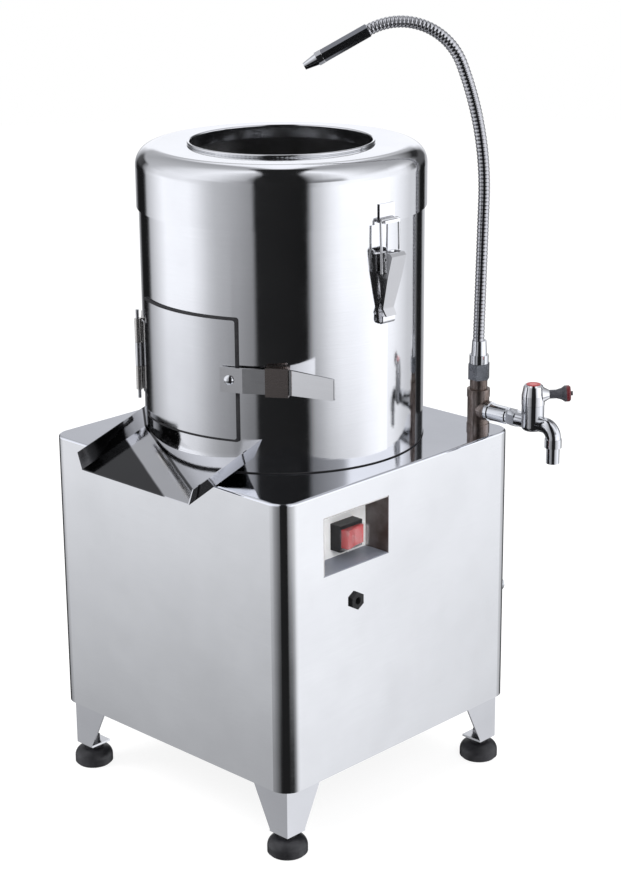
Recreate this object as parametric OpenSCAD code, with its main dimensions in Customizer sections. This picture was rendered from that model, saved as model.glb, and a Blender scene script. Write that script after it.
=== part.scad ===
// Electric potato peeler: a floor-standing abrasive drum peeler on a square cabinet.
// Millimetres, +Z up, the feet stand on z = 0.
// -Y is the side of the discharge chute and +X is the side of the switch.

/* [Cabinet] */
// Width of the cabinet
cabinet_w = 450; // [440:1:480]
// Depth of the cabinet
cabinet_d = 450; // [440:1:465]
// Height from the cabinet's bottom edge to the top of its deck
cabinet_h = 396; // [380:1:440]
// Radius of the upright corners
corner_r = 25; // [15:1:30]
// Thickness of the steel sheet
sheet = 1.5; // [1:0.1:2]
// Thickness of the deck, whose rim is rounded over all of it
deck_t = 3; // [2.5:0.1:4]
// Width of the flange folded in along the bottom edge
bottom_flange_w = 24; // [15:1:40]

/* [Legs and feet] */
// Height of the cabinet's bottom edge above the floor
ground_gap = 100; // [90:1:120]
// Distance from the cabinet's faces to the fold of each leg
leg_inset = 12; // [8:1:16]
// Width of a leg's wing at the cabinet
leg_top_w = 64; // [50:1:70]
// Width of a leg's wing at the foot
leg_bottom_w = 33; // [32:1:40]
// Thickness of the legs' steel
leg_t = 2.5; // [2:0.1:4]
// Height of the legs' closing plates above the floor
leg_z = 31; // [29:0.5:34]
// Radius of a rubber foot
foot_r = 27; // [20:0.5:28]
// Radius of a foot's threaded stud
stud_r = 5; // [4:0.5:5.5]

/* [Drum] */
// Outer radius of the drum
drum_r = 190.5; // [189:0.1:191]
// Distance of the drum's axis behind the cabinet's middle
drum_y = 4; // [0:1:8]
// Height of the seam between drum and lid above the deck
seam_h = 318.5; // [310:0.5:340]
// Depth that the drum reaches up inside the lid
drum_spigot = 19.5; // [12:0.5:24]
// Thickness of the abrasive lining
liner_t = 3; // [2:0.5:4]
// Thickness of the drum's floor pan
pan_t = 2; // [1.5:0.5:3]

/* [Lid] */
// Distance that the lid stands out over the drum
lid_over = 3.1; // [3:0.1:4]
// Height of the lid from the seam to its flat top
lid_h = 81; // [75:1:86]
// Radius of the lid's shoulder
lid_shoulder_r = 26; // [15:1:28]
// Inner radius of the feed mouth's collar
mouth_r = 121; // [110:1:130]
// Height of the rolled rim above the lid's top
mouth_rim_h = 4; // [3:0.5:6]

/* [Door] */
// Half of the door's width, measured straight across
door_half_w = 88.4; // [86:0.1:89]
// Height of the door's lower edge above the deck
door_low = 42; // [41:0.5:46]
// Height of the door
door_h = 164; // [150:1:170]
// Thickness of the door
door_t = 2.5; // [2:0.1:2.8]
// Width of the rubber edging round the door
edging_w = 3; // [2.5:0.1:5]
// Width of the lap where the door covers the drum's wall
door_lap = 8; // [6:0.5:10]
// Distance of the hinge's middle out from the door's edge, round the drum
hinge_out = 17.8; // [16:0.1:21]
// Radius of the hinge's knuckles
knuckle_r = 4.2; // [3.8:0.1:4.4]
// Length of the hinge
hinge_len = 98; // [80:1:110]

/* [Door latch] */
// Height of the latch bar's lower edge above the deck
bar_z = 109.5; // [105:0.5:112]
// Height of the latch bar's plate
bar_h = 33; // [28:0.5:36]
// Thickness of the latch bar
bar_t = 3; // [2.5:0.1:3.4]
// Distance in from the door's edge to where the bar's fixed end touches its circle round the drum
bar_in = 5; // [4:0.1:6]
// Distance of the middle of the bar's fixed end out from the drum
bar_out = 6.9; // [6.7:0.1:7.5]
// Radius of the bar's pivot screw
bar_screw_r = 3; // [2.5:0.25:4]

/* [Toggle latches] */
// Angle of the first toggle latch round the drum
toggle_a = -2; // [-4:0.5:4]
// Width of a toggle's lever
lever_w = 26; // [24:0.5:27]
// Height of the lever's pivot below the seam
lever_pivot_h = 44.5; // [44:0.1:46]
// Radius of the bail's wire
bail_wire_r = 1.75; // [1.5:0.05:1.75]
// Half of the distance between the bail's legs
bail_half_w = 16.4; // [16.4:0.1:18]
// Length of the bail's legs
bail_len = 68.3; // [68:0.1:70]

/* [Chute] */
// Half of the chute's width at its floor
chute_half_w = 102.5; // [100:0.5:104]
// Distance that the chute's lip stands out in front of the cabinet
chute_overhang = 47; // [35:1:60]
// Slope of the chute's floor
chute_slope = 17.2; // [16:0.1:18]
// Height of the chute's walls
chute_wall_h = 20; // [16:0.5:21]
// Distance that each wall leans out at its top
chute_flare = 8.5; // [5:0.5:9]

/* [Turntable and drive] */
// Gap between the abrasive disc and the lining
disc_play = 5; // [4:0.5:10]
// Height of the disc's top above the deck
disc_top = 44; // [42:0.5:45]
// Number of raised ridges on the disc
disc_ridges = 4; // [3:1:6]
// Radius of the drive shaft
shaft_r = 12.5; // [11:0.5:13]
// Outer radius of the shaft's bearings
bearing_r = 26; // [24:0.5:26.5]
// Running radius of the driven pulley's groove
driven_groove_r = 90; // [80:1:92]
// Running radius of the motor pulley's groove
motor_groove_r = 27; // [24:1:30]
// Distance between the pulleys' axes
belt_centres = 159; // [155:1:160]
// Width of the flat belt
belt_w = 14; // [12:0.5:15]
// Thickness of the belt
belt_t = 4; // [3:0.5:4.5]
// Radius of the motor's body
motor_r = 66; // [62:1:68]
// Height of the motor's body
motor_h = 176; // [160:1:190]

/* [Switch] */
// Width of the recess for the switch
recess_w = 120; // [110:1:125]
// Height of the recess
recess_h = 77; // [72:1:82]
// Depth of the recess
recess_d = 40; // [36:0.5:44]
// Distance of the recess's middle in front of the cabinet's middle
recess_y = 92.5; // [88:0.5:96]
// Height of the recess's middle above the cabinet's bottom edge
recess_z = 323; // [315:1:326]
// Width of the rocker switch's bezel
switch_w = 42; // [40:0.5:44]
// Height of the rocker switch's bezel
switch_h = 36; // [34:0.5:38]
// Angle between the rocker's two positions
rocker_travel = 20; // [12:1:24]

/* [Water] */
// Distance of the tee in from the cabinet's switch side
tee_in_x = 39; // [37:1:45]
// Distance of the tee in from the cabinet's back
tee_in_y = 29; // [27:1:35]
// Height of the tee's branch above the deck
branch_h = 27; // [26:0.5:32]
// Distance of the tap's spindle from the tee's axis
tap_reach = 95; // [90:1:105]
// Radius of the tap's spout
spout_r = 9; // [8:0.1:9.3]
// Length of the tap's handle from its spindle
handle_len = 53; // [46:1:60]
// Radius of the bendable neck
neck_r = 8; // [7:0.5:8.5]
// Lean of the neck's straight stretch
neck_lean = 1.2; // [0:0.1:2]
// Length of the neck's straight stretch
neck_straight = 214; // [200:1:240]
// Radius of the neck's long bend
neck_bend_1 = 470; // [450:5:500]
// Angle of the neck's long bend
neck_turn_1 = 22; // [18:0.5:24]
// Radius of the neck's tight bend
neck_bend_2 = 87; // [80:1:95]
// Angle of the neck's tight bend
neck_turn_2 = 98; // [90:1:100]
// Length of the spray grip
grip_len = 68; // [60:1:80]
// Radius of the water inlet's pipe
inlet_r = 10.5; // [9:0.5:11]
// Radius of the peel drain's pipe
drain_r = 24; // [20:0.5:25]

/* [Hidden] */
$fn = 96;
fine = 480;            // facets of a round cut whose radius is as large as the drum's

// Clearances
seat_gap = 0.05;       // round parts fixed or turning in each other, on the radius
free_gap = 0.3;        // moving parts that pass each other
past = 1;              // how far a cut runs past the stock

// Levels
deck_z = ground_gap + cabinet_h;
deck_low = deck_z - deck_t;
seam_z = deck_z + seam_h;
lid_top = seam_z + lid_h;
pan_top = deck_z + pan_t;
inner_w = cabinet_w - 2 * sheet;
inner_d = cabinet_d - 2 * sheet;
face_x = cabinet_w / 2;
back_y = cabinet_d / 2;
tee_x = face_x - tee_in_x;
tee_y = back_y - tee_in_y;

// Legs and feet
leg_x = face_x - leg_inset;
leg_y = back_y - leg_inset;
leg_plate_t = 3;
leg_base = leg_z + leg_plate_t;
leg_top = ground_gap - leg_plate_t;
foot_x = leg_x - leg_bottom_w / 2;
foot_y = leg_y - leg_bottom_w / 2;
foot_chamfer = 3;
foot_side_h = 11;
foot_hub_r = 13;
foot_washer_t = 2;
foot_washer_r = 12;
foot_top = leg_z - free_gap - foot_washer_t;
stud_low = 9;
stud_top = leg_z + 38;
foot_nut_h = 8;
foot_nut_r = 1.85 * stud_r;

// Rear cover
cover_w = 300;
cover_h = 260;
cover_low = 25;
cover_z = ground_gap + cover_low + cover_h / 2;
cover_lap = 12;
cover_screw_r = 2.5;
cover_screw_head_r = 4.5;
cover_screw_head_h = 2.5;
cover_screw_len = 9;
louvre_w = 90;
louvre_h = 6;
louvre_x = 58;
louvre_pitch = 16;
louvre_rows = 5;

// Drum
drum_in_r = drum_r - sheet;
liner_r = drum_in_r - seat_gap;
liner_in_r = drum_in_r - liner_t;
drum_top = seam_z + drum_spigot;
liner_low = deck_z + disc_top - 20;
liner_top = drum_top - 24;
housing_neck_r = bearing_r + 4;

// Lid
lid_r = drum_r + lid_over;
lid_in_r = lid_r - sheet;
collar_t = 2;
rim_bead_r = mouth_rim_h / 2;
collar_r = mouth_r + 3;
collar_low = lid_top - 14;
stop_w = 8;
stop_t = 2;

// Door and hinge
door_z = deck_z + door_low;
door_in_r = drum_r + free_gap;
door_out_r = door_in_r + door_t;
door_corner_r = 3;
door_edge_a = asin(door_half_w / drum_r);
opening_half_w = door_half_w - door_lap;
opening_z = door_z + door_lap / 2 + 1;
opening_h = door_h - door_lap - 2;
pin_r = 2.2;
leaf_t = 1.6;
leaf_r = door_out_r + seat_gap;
drum_leaf_r = drum_r + seat_gap;
hinge_a = 270 - door_edge_a - hinge_out / drum_r * 180 / PI;
hinge_r = leaf_r + leaf_t + knuckle_r - 0.15;
hinge_z = door_z + (door_h - hinge_len) / 2 - 1;
hinge_x = hinge_r * cos(hinge_a);
hinge_y = drum_y + hinge_r * sin(hinge_a);
knuckle_len = (hinge_len - 2 * free_gap) / 3;
pin_over = 12;
door_leaf_near = 2.3;
door_leaf_far = 8;
drum_leaf_near = 0.3;
drum_leaf_far = 13;

// Latch bar: where its three stretches start and how they head, seen from above
bar_r = drum_r + bar_out;
bar_a = 270 + asin((door_half_w - bar_in) / bar_r);
bar_low = deck_z + bar_z;
bar_start = -15;
bar_pivot = -2.5;
bar_lengths = [30.5, 64, 64.5];
bar_head_1 = bar_a + 90 - 360;
bar_head_2 = bar_head_1 + 8.8;
bar_head_3 = bar_head_2 - 22.2;
bar_p0 = [bar_r * cos(bar_a), drum_y + bar_r * sin(bar_a)] + bar_start * heading(bar_head_1);
bar_p1 = bar_p0 + bar_lengths[0] * heading(bar_head_1);
bar_p2 = bar_p1 + bar_lengths[1] * heading(bar_head_2);
bar_pivot_at = bar_p0 + (bar_pivot - bar_start) * heading(bar_head_1);
bar_mid_z = bar_low + bar_h / 2;
bar_taper = 2.2;
bar_corner_r = 4;
bar_play = 0.2;
bar_boss_r = 8;
bar_screw_head_r = 6.6;
bar_screw_head_h = 4;
bar_screw_rim_h = 1;
bar_screw_dome_r = (bar_screw_head_r ^ 2 + (bar_screw_head_h - bar_screw_rim_h) ^ 2)
  / (2 * (bar_screw_head_h - bar_screw_rim_h));
keeper_mid = 45;
keeper_len = 30;
keeper_gap = 1;
keeper_t = 2.2;
keeper_rise = 2.5;
keeper_reach = 20;

// Toggle latches, in a frame whose X points out from the drum's axis
toggle_plate_t = 2;
toggle_plate_x = drum_leaf_r + toggle_plate_t;
toggle_low = seam_z - 130.5;
toggle_top = seam_z - 38;
toggle_top_half = 18;
toggle_low_half = 11;
toggle_hook_r = 4.5;
toggle_hook_h = 6;
lever_x = drum_r + 12.5;
lever_z = seam_z - lever_pivot_h;
lever_wall = 2;
lever_pin_r = 2.5;
lever_pin_half = 14.2;
ear_r = 6;
ear_t = 2;
ear_half = lever_w / 2 - lever_wall - 0.5;
lever_rise = 9;
lever_drop = 67;
lever_back_x = toggle_plate_x + 2.5;
lever_low_front_x = lever_back_x + 3;
lever_top_front_x = lever_x + 14;
lever_low_half = 9;
lever_straight = 24;
lever_bevel = 4;
bail_x = lever_x - 1;
bail_z = lever_z - 18;
bail_tilt = -1.68;
bail_corner_r = 4;
bail_pin_in = lever_w / 2 - lever_wall - free_gap;
bail_bar_x = bail_x + bail_len * sin(bail_tilt);
bail_bar_z = bail_z + bail_len * cos(bail_tilt);
lid_keeper_half = 13.5;
lid_keeper_x = lid_r + seat_gap;
lid_keeper_t = 1.8;
hook_z = bail_bar_z - bail_wire_r - 0.35;
hook_t = 2;
hook_x = bail_bar_x + 3.6;
hook_lip_h = 2.1;
lid_keeper_top = seam_z + 25.5;

// Chute
chute_t = 1.5;
chute_over_deck = 2.6;
chute_len = 140;

// Turntable and drive
disc_r = liner_in_r - disc_play;
disc_z = deck_z + disc_top;
abrasive_h = 8;
disc_plate_t = 10;
disc_low = disc_z - abrasive_h - disc_plate_t;
ridge_r = 13;
ridge_rise = 9;
ridge_from = 62;
ridge_to = 158;
hub_r = 24;
skirt_r = housing_neck_r + 8;
skirt_t = 2.5;
skirt_low = disc_low - 19;
shaft_top = disc_z - abrasive_h - 1;
housing_flange_r = 70;
housing_flange_t = 8;
housing_bolt_at = 58;
housing_neck_top = pan_top + 12;
housing_low = deck_low - 96;
housing_boss_r = bearing_r + 11;
bearing_h = 15;
lower_bearing_z = housing_low + 3;
upper_bearing_z = housing_neck_top - 30;
bearing_bore_r = shaft_r + seat_gap;
housing_bore_r = bearing_r - 6;
hub_low = housing_neck_top + 2 * free_gap;
seal_h = 8;
seal_z = housing_neck_top - seal_h - 1;
belt_z = housing_low - 24;
pulley_flange_t = 4;
pulley_flange_h = 5;
pulley_h = belt_w + 1 + 2 * pulley_flange_t;
pulley_hub_r = 24;
pulley_web_t = 8;
pulley_rim_t = 9;
pulley_hole_r = 17;
shaft_low = belt_z - pulley_h / 2 - 14;
shaft_nut_r = 19;
shaft_nut_h = 8;
driven_belt_r = driven_groove_r + free_gap;
motor_belt_r = motor_groove_r + free_gap;
motor_a = 131;
motor_x = belt_centres * cos(motor_a);
motor_y = drum_y + belt_centres * sin(motor_a);
mount_t = 4;
mount_top = belt_z - pulley_h / 2 - 15;
mount_low = mount_top - mount_t;
mount_half = motor_r + 9;
mount_flange_h = 30;
motor_low = mount_low - motor_h;
motor_end_t = 20;
motor_bore_low = 7;
motor_cavity_r = 42;
motor_fins = 20;
fin_rise = 5;
fin_t = 3;
terminal_box = [30, 60, 62];
rotor_shaft_r = 12;
rotor_over = 8;
rotor_core_r = 38;
rotor_core_in = 12;
motor_bolt_at = 54;
motor_bolt_len = 18;
bolt_r = 4;
bolt_head_r = 7;
bolt_head_h = 5.5;
bolt_over = 3;

// Switch
recess_back_x = face_x - recess_d;
recess_mid_z = ground_gap + recess_z;
switch_y = -recess_y + 14;
switch_z = recess_mid_z - 9;
switch_rise = 17.5;
switch_wall = 2;
switch_lip = 5;
switch_in_w = switch_w - 2 * switch_wall;
switch_in_h = switch_h - 2 * switch_lip;
switch_behind = 24;
switch_floor = 3;
rocker_x = switch_rise - 5;
rocker_half = switch_in_w / 2 - 1.5;
rocker_half_h = switch_in_h / 2 - 0.5;
rocker_rise = 12;
rocker_dip = 1.6;
rocker_sink = 3;
rocker_pin_r = 2;
cover_rise = 30;
cover_wall = 1;
cover_half_h = rocker_half_h + cover_wall + 0.6;
gland_y = -94;
gland_drop = 88;
gland_z = recess_mid_z - gland_drop;
gland_thread_r = 9;
gland_bore_r = 5;
gland_hex_r = 12.3;
gland_hex_h = 4;
gland_len = 22;
gland_nut_r = 13.3;
gland_nut_h = 5;

// Water fittings
tee_r = 15;
tee_ring_h = 7;
branch_z = deck_z + branch_h;
tee_top = deck_z + 70;
tee_collar_low = deck_z + 45;
tee_collar_high = deck_z + 56;
tee_collar_r = 15.8;
tee_neck_r = 12;
tee_bore_r = 7;
tee_boss_r = 14;
tee_boss_x = tee_x + 18;
branch_r = 12;
branch_x = tee_x + 15;
neck_nut_r = 15.5;
neck_nut_h = 22;
neck_nut_bore_r = 9;
ferrule_low = tee_top + neck_nut_h + free_gap;
ferrule_r = 13.2;
ferrule_h = 12;
ferrule_cone_h = 20;
ferrule_cone_low_r = neck_r + 2.8;
ferrule_cone_top_r = neck_r + 1.7;
neck_z = ferrule_low + ferrule_h;
neck_shift = 1.5;
neck_middle = 4;
neck_bore_r = 4;
neck_dir = atan2(drum_y - tee_y, -tee_x);
inlet_z = ground_gap + 150;
inlet_bend_r = 20;
inlet_out = 24;
pipe_wall = 2;
locknut_r = 16;
locknut_h = 6;
wall_ring_w = 5;
wall_ring_t = 3;
tap_x = tee_x + tap_reach;
tap_flange_r = 13.5;
tap_flange_from = tee_boss_x + free_gap;
tap_flange_t = 5;
tap_nut_r = 12.5;
tap_nut_from = tap_x - 38;
tap_nut_to = tap_x - 25;
tap_groove_from = tap_nut_from - 4;
tap_inlet_r = 10.5;
tap_body_r = 15.3;
tap_body_low = branch_z - 11;
tap_body_top = branch_z + 25;
tap_dome_r = 6;
tap_stem_r = 6;
tap_stem_low = branch_z + 10;
elbow_r = 10.5;
spout_x = tap_x + 35.5;
spout_bend_r = 16;
spout_from = spout_x - spout_bend_r;
spout_low = branch_z - spout_bend_r;
spout_bore_r = spout_r - 2.5;
outlet_collar_r = spout_r + 2.5;
outlet_collar_h = 12;
outlet_len = 34;
cap_r = 15.6;
cap_low = tap_body_top + free_gap;
cap_top = branch_z + 53;
cap_top_r = 13;
cap_bevel = 2;
cap_taper_h = 15;
cap_disc_r = 9.5;
cap_disc_in = 2;
cap_disc_out = 0.5;
cap_horn_from = 12;
cap_horn_r = 11.5;
handle_z = branch_z + 38;
handle_tilt = 3;
handle_turn = 42;
handle_root_r = 4;
handle_root_from = 9;
handle_from = 21.5;
handle_neck_r = 6;
handle_flare_r = 11;
handle_nub_r = 3;
handle_nub_h = 3;
handle_flare_h = 10;
handle_bevel = 2;
handle_end = handle_len - handle_nub_h;
grip_r = 9;
tip_collar_r = 9.3;
tip_collar_h = 8;
tip_cone_r = 8;
tip_cone_h = 19;
tip_end_r = 4.75;
tip_stem_r = 5;
tip_stem_h = 14;
tip_bore_r = 2.5;

// Drain
drain_y = drum_y + 150;
drain_bend_r = 36;
drain_drop = 28;
drain_z = pan_top - drain_drop - drain_bend_r;
drain_out = 38;

// The part's place: its box is centred over the origin, with its feet on z = 0
handle_run = cos(handle_tilt) * cos(handle_turn);
part_right = max(spout_x + outlet_collar_r,
                 tap_x + (handle_end - handle_bevel) * handle_run + handle_flare_r * sqrt(1 - handle_run ^ 2));
part_left = -face_x;
part_front = -back_y - chute_overhang;
part_back = back_y + drain_out;
origin_shift = [-(part_right + part_left) / 2, -(part_back + part_front) / 2, 0];

function heading(a) = [cos(a), sin(a)];

// ---------- shared shapes ----------

module placed() {
  translate(origin_shift) children();
}

module on_drum_axis(z = 0) {
  translate([0, drum_y, z]) children();
}

module on_motor_axis(z = 0) {
  translate([motor_x, motor_y, z]) children();
}

module both_sides(axis) {
  children();
  mirror(axis) children();
}

module four_corners() {
  both_sides([1, 0, 0]) both_sides([0, 1, 0]) children();
}

module tube(r_out, r_in, h) {
  difference() {
    cylinder(r = r_out, h = h);
    translate([0, 0, -past]) cylinder(r = r_in, h = h + 2 * past);
  }
}

module sector(r_out, r_in, from, to, h) {
  rotate(from) rotate_extrude(angle = to - from) translate([r_in, 0]) square([r_out - r_in, h]);
}

module rounded_rect(w, d, r) {
  square([w - 2 * r, d], center = true);
  square([w, d - 2 * r], center = true);
  for (sx = [-1, 1], sy = [-1, 1]) translate([sx * (w / 2 - r), sy * (d / 2 - r)]) circle(r = r);
}

// A prism that runs from the drum's axis out to the front, a rounded box when seen from there
module front_prism(half_w, z, h, r) {
  translate([0, 0, z + h / 2]) rotate([90, 0, 0]) linear_extrude(2 * drum_r) rounded_rect(2 * half_w, h, r);
}

// A side view drawn in X and Z, spread equally to both sides in Y
module side_view(width) {
  rotate([90, 0, 0]) linear_extrude(width, center = true) children();
}

module across(r, width) {
  rotate([90, 0, 0]) cylinder(r = r, h = width, center = true);
}

// A bend that starts at the origin going up and turns towards +X, with children as its section
module bend(bend_r, turn) {
  translate([bend_r, 0, 0]) rotate([90, 0, 180]) rotate_extrude(angle = turn)
    translate([bend_r, 0]) children();
}

module after_bend(bend_r, turn) {
  translate([bend_r * (1 - cos(turn)), 0, bend_r * sin(turn)]) rotate([0, turn, 0]) children();
}

module ring(r_out, r_in) {
  difference() {
    circle(r = r_out);
    circle(r = r_in);
  }
}

// ---------- cabinet ----------

module cabinet_outline(inset) {
  rounded_rect(cabinet_w - 2 * inset, cabinet_d - 2 * inset, corner_r - inset);
}

module cover_screw_places() {
  for (sx = [-1, 1], row = [-1, 0, 1])
    translate([sx * (cover_w - cover_lap) / 2, back_y, cover_z + row * (cover_h - cover_lap) / 2])
      rotate([-90, 0, 0]) children();
}

module back_way(x, z, r) {
  translate([x, back_y - 5, z]) rotate([-90, 0, 0]) cylinder(r = r + seat_gap, h = 10);
}

module cabinet_shell() {
  color("gainsboro") placed() difference() {
    translate([0, 0, ground_gap]) union() {
      linear_extrude(deck_low - ground_gap) difference() {
        cabinet_outline(0);
        cabinet_outline(sheet);
      }
      linear_extrude(sheet) difference() {
        cabinet_outline(sheet / 2);
        square([inner_w - 2 * bottom_flange_w, inner_d - 2 * bottom_flange_w], center = true);
      }
    }
    translate([face_x, -recess_y, recess_mid_z])
      cube([4 * sheet, recess_w + 2 * sheet, recess_h + 2 * sheet], center = true);
    translate([face_x - 5, gland_y, gland_z]) rotate([0, 90, 0])
      cylinder(r = gland_thread_r + seat_gap, h = 10);
    translate([0, back_y, cover_z])
      cube([cover_w - 2 * cover_lap, 4 * sheet, cover_h - 2 * cover_lap], center = true);
    cover_screw_places() cylinder(r = cover_screw_r + seat_gap, h = 3 * cover_screw_len, center = true);
    back_way(0, drain_z, drain_r);
    back_way(tee_x, inlet_z, inlet_r);
  }
}

module wall_ring(x, z, r) {
  placed() translate([x, back_y, z]) rotate([-90, 0, 0])
    tube(r + wall_ring_w, r - pipe_wall / 2, wall_ring_t);
}

module rim_profile() {
  intersection() {
    circle(r = deck_t);
    square(deck_t);
  }
  translate([-past, 0]) square([past, deck_t]);
}

module deck_sides(reach, len) {
  both_sides([1, 0, 0]) translate([reach - deck_t, len / 2, 0]) rotate([90, 0, 0])
    linear_extrude(len) rim_profile();
}

module deck_plate() {
  color("lightsteelblue") placed() translate([0, 0, deck_low]) difference() {
    union() {
      linear_extrude(deck_t) cabinet_outline(deck_t);
      deck_sides(face_x, cabinet_d - 2 * corner_r);
      rotate(90) deck_sides(back_y, cabinet_w - 2 * corner_r);
      four_corners() translate([face_x - corner_r, back_y - corner_r, 0])
        rotate_extrude(angle = 90) translate([corner_r - deck_t, 0]) rim_profile();
    }
    translate([0, drum_y, -past]) cylinder(r = housing_neck_r + seat_gap, h = deck_t + 2 * past);
    translate([0, drain_y, -past]) cylinder(r = drain_r + seat_gap, h = deck_t + 2 * past);
    translate([tee_x, tee_y, -past]) cylinder(r = inlet_r + seat_gap, h = deck_t + 2 * past);
  }
}

module rear_cover() {
  color("silver") placed() difference() {
    translate([0, back_y, cover_z]) rotate([-90, 0, 0]) linear_extrude(sheet) difference() {
      rounded_rect(cover_w, cover_h, cover_lap / 2);
      for (row = [0:louvre_rows - 1], sx = [-1, 1])
        translate([sx * louvre_x, (row - (louvre_rows - 1) / 2) * louvre_pitch])
          rounded_rect(louvre_w, louvre_h, louvre_h * 0.45);
    }
    cover_screw_places() cylinder(r = cover_screw_r + seat_gap, h = 3 * cover_screw_len, center = true);
  }
}

module rear_cover_screws() {
  color("dimgray") placed() cover_screw_places() {
    translate([0, 0, sheet]) cylinder(r = cover_screw_head_r, h = cover_screw_head_h);
    translate([0, 0, sheet - cover_screw_len]) cylinder(r = cover_screw_r, h = cover_screw_len + past);
  }
}

module switch_recess() {
  wall = 2 * sheet;
  color("gainsboro") placed() difference() {
    translate([recess_back_x - sheet, -recess_y - recess_w / 2 - sheet, recess_mid_z - recess_h / 2 - sheet])
      cube([recess_d + sheet, recess_w + wall, recess_h + wall]);
    translate([recess_back_x, -recess_y - recess_w / 2, recess_mid_z - recess_h / 2])
      cube([recess_d + past, recess_w, recess_h]);
    translate([recess_back_x, switch_y, switch_z])
      cube([2 * wall, switch_in_w + 2 * seat_gap, switch_in_h + 2 * seat_gap], center = true);
  }
}

// ---------- legs and feet ----------

module leg_wing() {
  h = leg_top - leg_base;
  rotate([90, 0, 0]) linear_extrude(leg_t) polygon([[0, 0], [0, h], [-leg_top_w, h], [-leg_bottom_w, 0]]);
}

module legs() {
  color("silver") placed() four_corners() difference() {
    union() {
      translate([leg_x, leg_y, leg_base]) leg_wing();
      translate([leg_x - leg_t, leg_y, leg_base]) rotate(90) leg_wing();
      translate([leg_x - leg_bottom_w, leg_y - leg_bottom_w, leg_z])
        cube([leg_bottom_w, leg_bottom_w, leg_plate_t]);
      translate([leg_x - leg_top_w, leg_y - leg_top_w, leg_top]) cube([leg_top_w, leg_top_w, leg_plate_t]);
    }
    translate([foot_x, foot_y, leg_z - past]) cylinder(r = stud_r + seat_gap, h = leg_plate_t + 2 * past);
  }
}

module foot_nuts() {
  color("dimgray") placed() four_corners() translate([foot_x, foot_y, leg_base]) difference() {
    cylinder(r = foot_nut_r, h = foot_nut_h, $fn = 6);
    translate([0, 0, -past]) cylinder(r = stud_r + seat_gap, h = foot_nut_h + 2 * past);
  }
}

module foot_profile() {
  square([foot_hub_r, foot_top]);
  polygon([[0, 0], [foot_r - foot_chamfer, 0], [foot_r, foot_chamfer], [foot_r, foot_side_h],
           [0, foot_side_h]]);
  intersection() {
    translate([foot_hub_r, foot_side_h]) circle(r = foot_r - foot_hub_r);
    square([foot_r, foot_side_h + foot_r]);
  }
}

module foot(sx, sy) {
  placed() translate([sx * foot_x, sy * foot_y, 0]) {
    color("dimgray") difference() {
      rotate_extrude() foot_profile();
      translate([0, 0, stud_low - seat_gap]) cylinder(r = stud_r + seat_gap, h = foot_top);
    }
    color("silver") translate([0, 0, stud_low]) cylinder(r = stud_r, h = stud_top - stud_low);
    color("silver") translate([0, 0, foot_top + seat_gap])
      tube(foot_washer_r, stud_r + seat_gap, foot_washer_t - seat_gap);
  }
}

module foot_front_left() {
  foot(-1, -1);
}

module foot_front_right() {
  foot(1, -1);
}

module foot_rear_left() {
  foot(-1, 1);
}

module foot_rear_right() {
  foot(1, 1);
}

// ---------- drum ----------

module drum_opening() {
  front_prism(opening_half_w, opening_z, opening_h, door_corner_r);
}

module drum_shell() {
  color("silver") placed() on_drum_axis() difference() {
    translate([0, 0, deck_z]) tube(drum_r, drum_in_r, drum_top - deck_z);
    drum_opening();
  }
}

module drum_liner() {
  color("slategray") placed() on_drum_axis() difference() {
    translate([0, 0, liner_low]) tube(liner_r, liner_in_r, liner_top - liner_low);
    drum_opening();
  }
}

module drum_pan() {
  color("silver") placed() difference() {
    on_drum_axis(deck_z) tube(liner_r, housing_neck_r + seat_gap, pan_t);
    translate([0, drain_y, deck_z - past]) cylinder(r = drain_r + seat_gap, h = pan_t + 2 * past);
  }
}

module drain_pipe() {
  inner_r = drain_r - pipe_wall;
  color("lightgray") placed() translate([0, drain_y, pan_top]) rotate([180, 0, 90]) {
    tube(drain_r, inner_r, drain_drop);
    translate([0, 0, drain_drop]) {
      bend(drain_bend_r, 90) ring(drain_r, inner_r);
      after_bend(drain_bend_r, 90) tube(drain_r, inner_r, part_back - drain_y - drain_bend_r);
    }
  }
  color("lightgray") wall_ring(0, drain_z, drain_r);
}

module chute_profile() {
  w = chute_half_w;
  polygon([[-w - chute_flare, chute_wall_h], [-w, 0], [w, 0], [w + chute_flare, chute_wall_h],
           [w + chute_flare + chute_t, chute_wall_h], [w + chute_t, -chute_t],
           [-w - chute_t, -chute_t], [-w - chute_flare - chute_t, chute_wall_h]]);
}

module discharge_chute() {
  color("silver") placed() difference() {
    translate([0, -back_y, deck_z + chute_over_deck]) rotate([90 + chute_slope, 0, 0])
      linear_extrude(2 * chute_len, center = true) chute_profile();
    translate([0, part_front - chute_len, deck_z])
      cube([3 * chute_half_w, 2 * chute_len, drum_r], center = true);
    on_drum_axis(deck_z - drum_r) cylinder(r = drum_leaf_r, h = 2 * drum_r, $fn = fine);
  }
}

module pin_bore() {
  translate([hinge_x, hinge_y, hinge_z - pin_over - past])
    cylinder(r = pin_r + seat_gap, h = hinge_len + 2 * pin_over + 2 * past);
}

module drum_hinge_leaf() {
  web_x = drum_leaf_r + leaf_t / 2 - hinge_r;
  color("gray") placed() difference() {
    union() {
      on_drum_axis(hinge_z) sector(drum_leaf_r + leaf_t, drum_leaf_r, hinge_a - drum_leaf_far,
                                   hinge_a + drum_leaf_near, hinge_len);
      for (low = [0, 2])
        translate([hinge_x, hinge_y, hinge_z + low * (knuckle_len + free_gap)]) rotate(hinge_a) {
          cylinder(r = knuckle_r, h = knuckle_len);
          translate([web_x, -knuckle_r, 0]) cube([-web_x, 0.8 * knuckle_r, knuckle_len]);
        }
    }
    pin_bore();
  }
}

module hinge_pin() {
  color("dimgray") placed() translate([hinge_x, hinge_y, hinge_z - pin_over])
    cylinder(r = pin_r, h = hinge_len + 2 * pin_over);
}

// ---------- door ----------

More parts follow.
